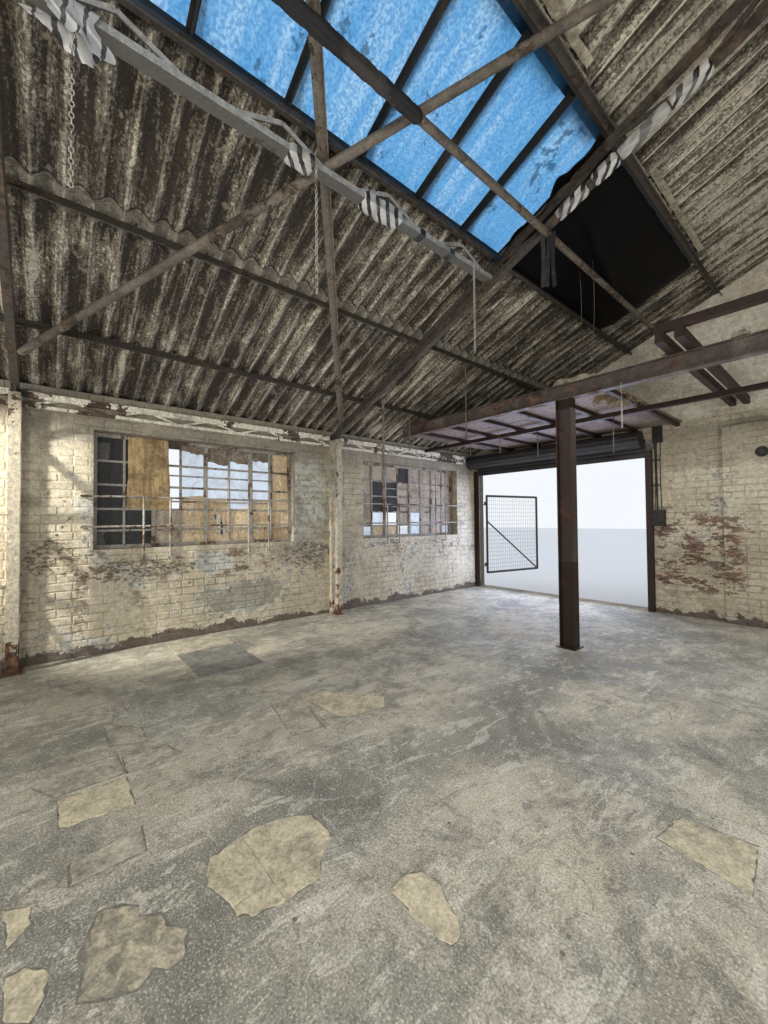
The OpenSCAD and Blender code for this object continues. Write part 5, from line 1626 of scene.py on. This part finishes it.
def crackLines():
    # Flat ribbons: places every 20 mm along the run, shifted sideways at random, of uneven width
    parts = []
    for run, wide, height in cracks:
        run = np.asarray(run, float)
        steps = np.concatenate([[0], np.cumsum(np.linalg.norm(np.diff(run, axis=0), axis=1))])
        at = np.arange(0, steps[-1], 0.02)
        line = np.stack([np.interp(at, steps, run[:, k]) for k in range(2)], 1)
        ahead = np.gradient(line, axis=0)
        side = np.stack([-ahead[:, 1], ahead[:, 0]], 1) / np.linalg.norm(ahead, axis=1, keepdims=True)
        stray = np.cumsum(draws.normal(0, 0.0016, len(at)))
        stray -= np.linspace(stray[0], stray[-1], len(at))
        loose = 1.0 if wide < 0.0035 and height < 0.001 else 0.15
        line = line + side * (stray * loose)[:, None]
        aside = side * (wide / 2 * draws.uniform(0.25, 1.0, (len(at), 1)))
        level = np.full((len(at), 1), floorTop + height)
        points = np.concatenate([np.hstack([line - aside, level]), np.hstack([line + aside, level])])
        i = np.arange(len(at) - 1)
        parts.append((points, [np.stack([i, i + 1, i + len(at) + 1, i + len(at)], 1)]))
    return join(parts)


addPiece("floorCracks", crackLines(), darkGap)


# Crumbs: the heaps by place, spread and number, and those that lie about singly
crumbHeaps = [(3.6, -1.55, 0.14, 60), (2.05, -1.70, 0.04, 14), (4.35, -0.5, 0.15, 90), (4.3, -3.2, 0.2, 120),
              (1.75, -4.8, 0.25, 60), (0.9, -6.9, 0.3, 80)]
single = {"count": 900, "wide": 4.4, "endGap": 0.1, "wallGap": 4.54, "least": 0.002, "most": 0.009}


def crumbs():
    # Small chips of rust, plaster and grit: squashed random tetrahedra
    x = [draws.normal(cx, spread, n) for cx, _, spread, n in crumbHeaps]
    x = np.concatenate(x + [draws.uniform(-single["wide"], single["wide"], single["count"])])
    y = [draws.normal(cy, spread, n) for _, cy, spread, n in crumbHeaps]
    front, rear = frontIn + single["endGap"], rearIn - single["endGap"]
    y = np.concatenate(y + [draws.uniform(front, rear, single["count"])])
    size = draws.uniform(single["least"], single["most"], len(x))
    corner = np.array([[1, 0, 0], [-0.6, 0.8, 0], [-0.5, -0.7, 0], [0, 0, 0.6]])
    shape = corner + draws.normal(0, 0.25, (len(x), 4, 3)) * [1, 1, 0.2]
    place = np.stack([np.minimum(x, single["wallGap"]), y, np.full(len(x), floorTop)], 1)
    points = place[:, None] + shape * size[:, None, None]
    sides = np.array([[0, 1, 3], [1, 2, 3], [2, 0, 3], [0, 2, 1]])
    faces = (np.arange(len(x))[:, None, None] * 4 + sides).reshape(-1, 3)
    return points.reshape(-1, 3), [faces]


addPiece("floorCrumbs", crumbs(), coverPlate)
print("floor patched")

# Small fittings on the walls
fittings = {
    "boxX": doorX - 0.14, "boxZ": floorTop + 1.2, "lampX": 0.69, "lampZ": 2.024, "lampRing": 0.045,
    "conduit": [(half - 0.02, -5.62, 2.352), (half - 0.02, -6.70, 2.345)], "conduitThick": 0.010,
    "cup": [(half - 0.001, -6.74, 2.36), (half - 0.05, -6.74, 2.36)], "cupRadii": np.array([0.045, 0.040]),
}


def wallFittings():
    # A conduit along the east wall and the round cup that it ends at
    conduit = pipe(fittings["conduit"], fittings["conduitThick"], 8)
    return join([conduit, pipe(fittings["cup"], fittings["cupRadii"], 20)])


addPiece("whiteFitting", wallFittings(), whiteWrap)


def conduitDrop(x, top, sway):
    # A line down the gable to the switch box: its sideways sway is a sine of the way down
    count = 14
    z = np.linspace(top, fittings["boxZ"] + 0.1, count)
    return np.stack([x + sway * np.sin(np.linspace(0, 3, count)), np.full(count, frontIn + 0.012), z], 1)


def gableFittings():
    # Conduits that drop from the shutter's end to the switch box, and a ring lamp housing
    x = fittings["boxX"]
    drops = ((0.02, 2.62, 0.004, 0.009, 8), (-0.03, 2.45, 0.012, 0.005, 6), (0.05, 2.40, -0.014, 0.004, 6))
    parts = [pipe(conduitDrop(x + aside, top, sway), wire, n) for aside, top, sway, wire, n in drops]
    lows = [(x - 0.05, frontIn, 2.28), (x - 0.02, frontIn, 2.05), (x - 0.02, frontIn, 1.72)]
    highs = [(x + 0.06, frontIn + out, top) for out, top in ((0.02, 2.52), (0.026, 2.065), (0.026, 1.735))]
    parts.append(boxes(lows, highs))
    lampX, lampZ, front = fittings["lampX"], fittings["lampZ"], frontIn + 0.075
    ring = fittings["lampRing"] * ringOutline(1.0, 20)
    circle = np.stack([lampX + ring[:, 0], np.full(20, front), lampZ + ring[:, 1]], 1)
    parts.append(pipe(circle, 0.012, 8, True, up=(0, 1, 0.01)))
    parts.append(pipe([(lampX, front - 0.015, lampZ), (lampX, front, lampZ)], 0.03, 14))
    return join(parts)


addPiece("gableFittings", gableFittings(), blackSteel)

# Straps: the place of the middle one along X, their top and foot, their width and distance
strap = {"x": 1.479, "top": 3.445, "low": 3.03, "wide": 0.03, "apart": 0.045, "places": 16}


def straps():
    # Three webbing straps over the chord at the rafter's node: flat ribbons that sway by sines of the height
    parts = []
    count = strap["places"]
    i = np.arange(count - 1)
    for k in range(3):
        z = np.linspace(strap["top"], strap["low"] + 0.02 * k, count)
        x = strap["x"] + (k - 1) * strap["apart"] + 0.006 * np.sin((z - strap["low"]) * 9 + k)
        y = rafterY + 0.036 + 0.010 * np.sin((z - strap["low"]) * 5 + 2 * k)
        left = np.stack([x - strap["wide"] / 2, y, z], 1)
        right = np.stack([x + strap["wide"] / 2, y + 0.004 * k, z], 1)
        faces = np.stack([i, i + count, i + count + 1, i + 1], 1)
        parts.append((np.concatenate([left, right]), [faces]))
    return join(parts)


webbing = addPiece("straps", straps(), foamSleeve, smooth=True)
print("fittings made")

# Camera at the photograph's place: turned from -Y towards +X, slightly up, slightly rolled
eye = {"back": 6.036, "height": 1.3, "turn": 49.975, "up": 1.281, "roll": -0.4836, "focal": 401.97,
       "long": 1024}


def addCamera():
    # Axes from three turns: level heading, then tilt about the right axis, then roll about the line of sight
    turn, tilt, roll = (math.radians(eye[k]) for k in ("turn", "up", "roll"))
    ahead = np.array([math.sin(turn), -math.cos(turn), 0.0])
    right = np.array([-math.cos(turn), -math.sin(turn), 0.0])
    up = np.array([0, 0, 1.0])
    sight = math.cos(tilt) * ahead + math.sin(tilt) * up
    top = -math.sin(tilt) * ahead + math.cos(tilt) * up
    across = math.cos(roll) * right + math.sin(roll) * top
    top = -math.sin(roll) * right + math.cos(roll) * top
    data = bpy.data.cameras.new("camera")
    data.sensor_width, data.lens = 36.0, 36.0 * eye["focal"] / eye["long"]
    data.clip_start, data.clip_end = 0.02, 400
    camera = bpy.data.objects.new("camera", data)
    matrix = np.eye(4)
    matrix[:3, 0], matrix[:3, 1], matrix[:3, 2] = across, top, -sight
    matrix[:3, 3] = (0.0, frontIn + eye["back"], eye["height"])
    camera.matrix_world = Matrix(matrix.tolist())
    bpy.context.scene.collection.objects.link(camera)
    bpy.context.scene.camera = camera


addCamera()


# Lamps, unseen themselves

def addLamp(name, kind, where, power, colour, **shape):
    # A lamp of the kind with its power, colour and shape
    data = bpy.data.lights.new(name, kind)
    data.energy, data.color = power, colour
    for key, value in shape.items():
        setattr(data, key, value)
    made = bpy.data.objects.new(name, data)
    made.location = where
    made.visible_camera = False
    bpy.context.scene.collection.objects.link(made)
    return made


def softLamp(name, where, turn, size, power, colour=(1, 1, 1)):
    # A large soft rectangle, turned by three angles
    made = addLamp(name, "AREA", where, power, colour, shape="RECTANGLE", size=size[0], size_y=size[1])
    made.rotation_euler = tuple(math.radians(a) for a in turn)


def spotLamp(name, where, aim, angle, power, radius, colour):
    # A small lamp aimed at a place: its -Z axis points from where it is to the aim
    made = addLamp(name, "SPOT", where, power, colour, spot_size=math.radians(angle), spot_blend=0.6,
                   shadow_soft_size=radius)
    made.rotation_euler = (Vector(aim) - Vector(where)).to_track_quat("-Z", "Y").to_euler()


softLamp("floorLamp", (-0.4, middleY, 2.35), (0, 0, 0), (5.6, 14.5), 225)
softLamp("roofLamp", (0, middleY, 0.9), (180, 0, 0), (8.0, 14.5), 200)
softLamp("sideLamp", (0.2, 3.6, 2.9), (68, 0, 215), (0.7, 0.7), 130, (1.0, 0.97, 0.90))
softLamp("ridgeLamp", (-2.2, 1.5, 1.4), (118, 0, 215), (1.2, 1.2), 88, (1.0, 0.97, 0.92))
softLamp("doorLamp", (3.19, frontIn + 0.08, 1.15), (84, 0, 0), (2.4, 1.7), 60, (0.60, 0.69, 1.0))
spotLamp("columnLamp", (4.0, 0.85, 2.55), (4.56, -1.55, 1.1), 46, 820, 0.045, (1.0, 0.96, 0.87))

world = bpy.data.worlds.new("world")
world.use_nodes = True
world.node_tree.nodes["Background"].inputs[0].default_value = (0.92, 0.955, 1.0, 1)
world.node_tree.nodes["Background"].inputs[1].default_value = 1.0
bpy.context.scene.world = world
bpy.context.scene.view_settings.view_transform = "Standard"

# The ground outside: one pale square a little below the building
ground = {"reach": 60, "low": -0.002, "colour": (0.72, 0.74, 0.78, 1), "rough": 0.8}
reach = ground["reach"]
corners = [(x, y, ground["low"])
           for x, y in ((-reach, -reach), (reach, -reach), (reach, reach), (-reach, reach))]
groundData = bpy.data.meshes.new("ground")
groundData.from_pydata(corners, [], [[0, 1, 2, 3]])
paleFloor, _, groundShader = startMaterial("paleFloor")
groundShader.inputs["Base Color"].default_value = ground["colour"]
groundShader.inputs["Roughness"].default_value = ground["rough"]
groundData.materials.append(paleFloor)
groundPiece = bpy.data.objects.new("ground", groundData)
bpy.context.scene.collection.objects.link(groundPiece)
print("camera and light set")
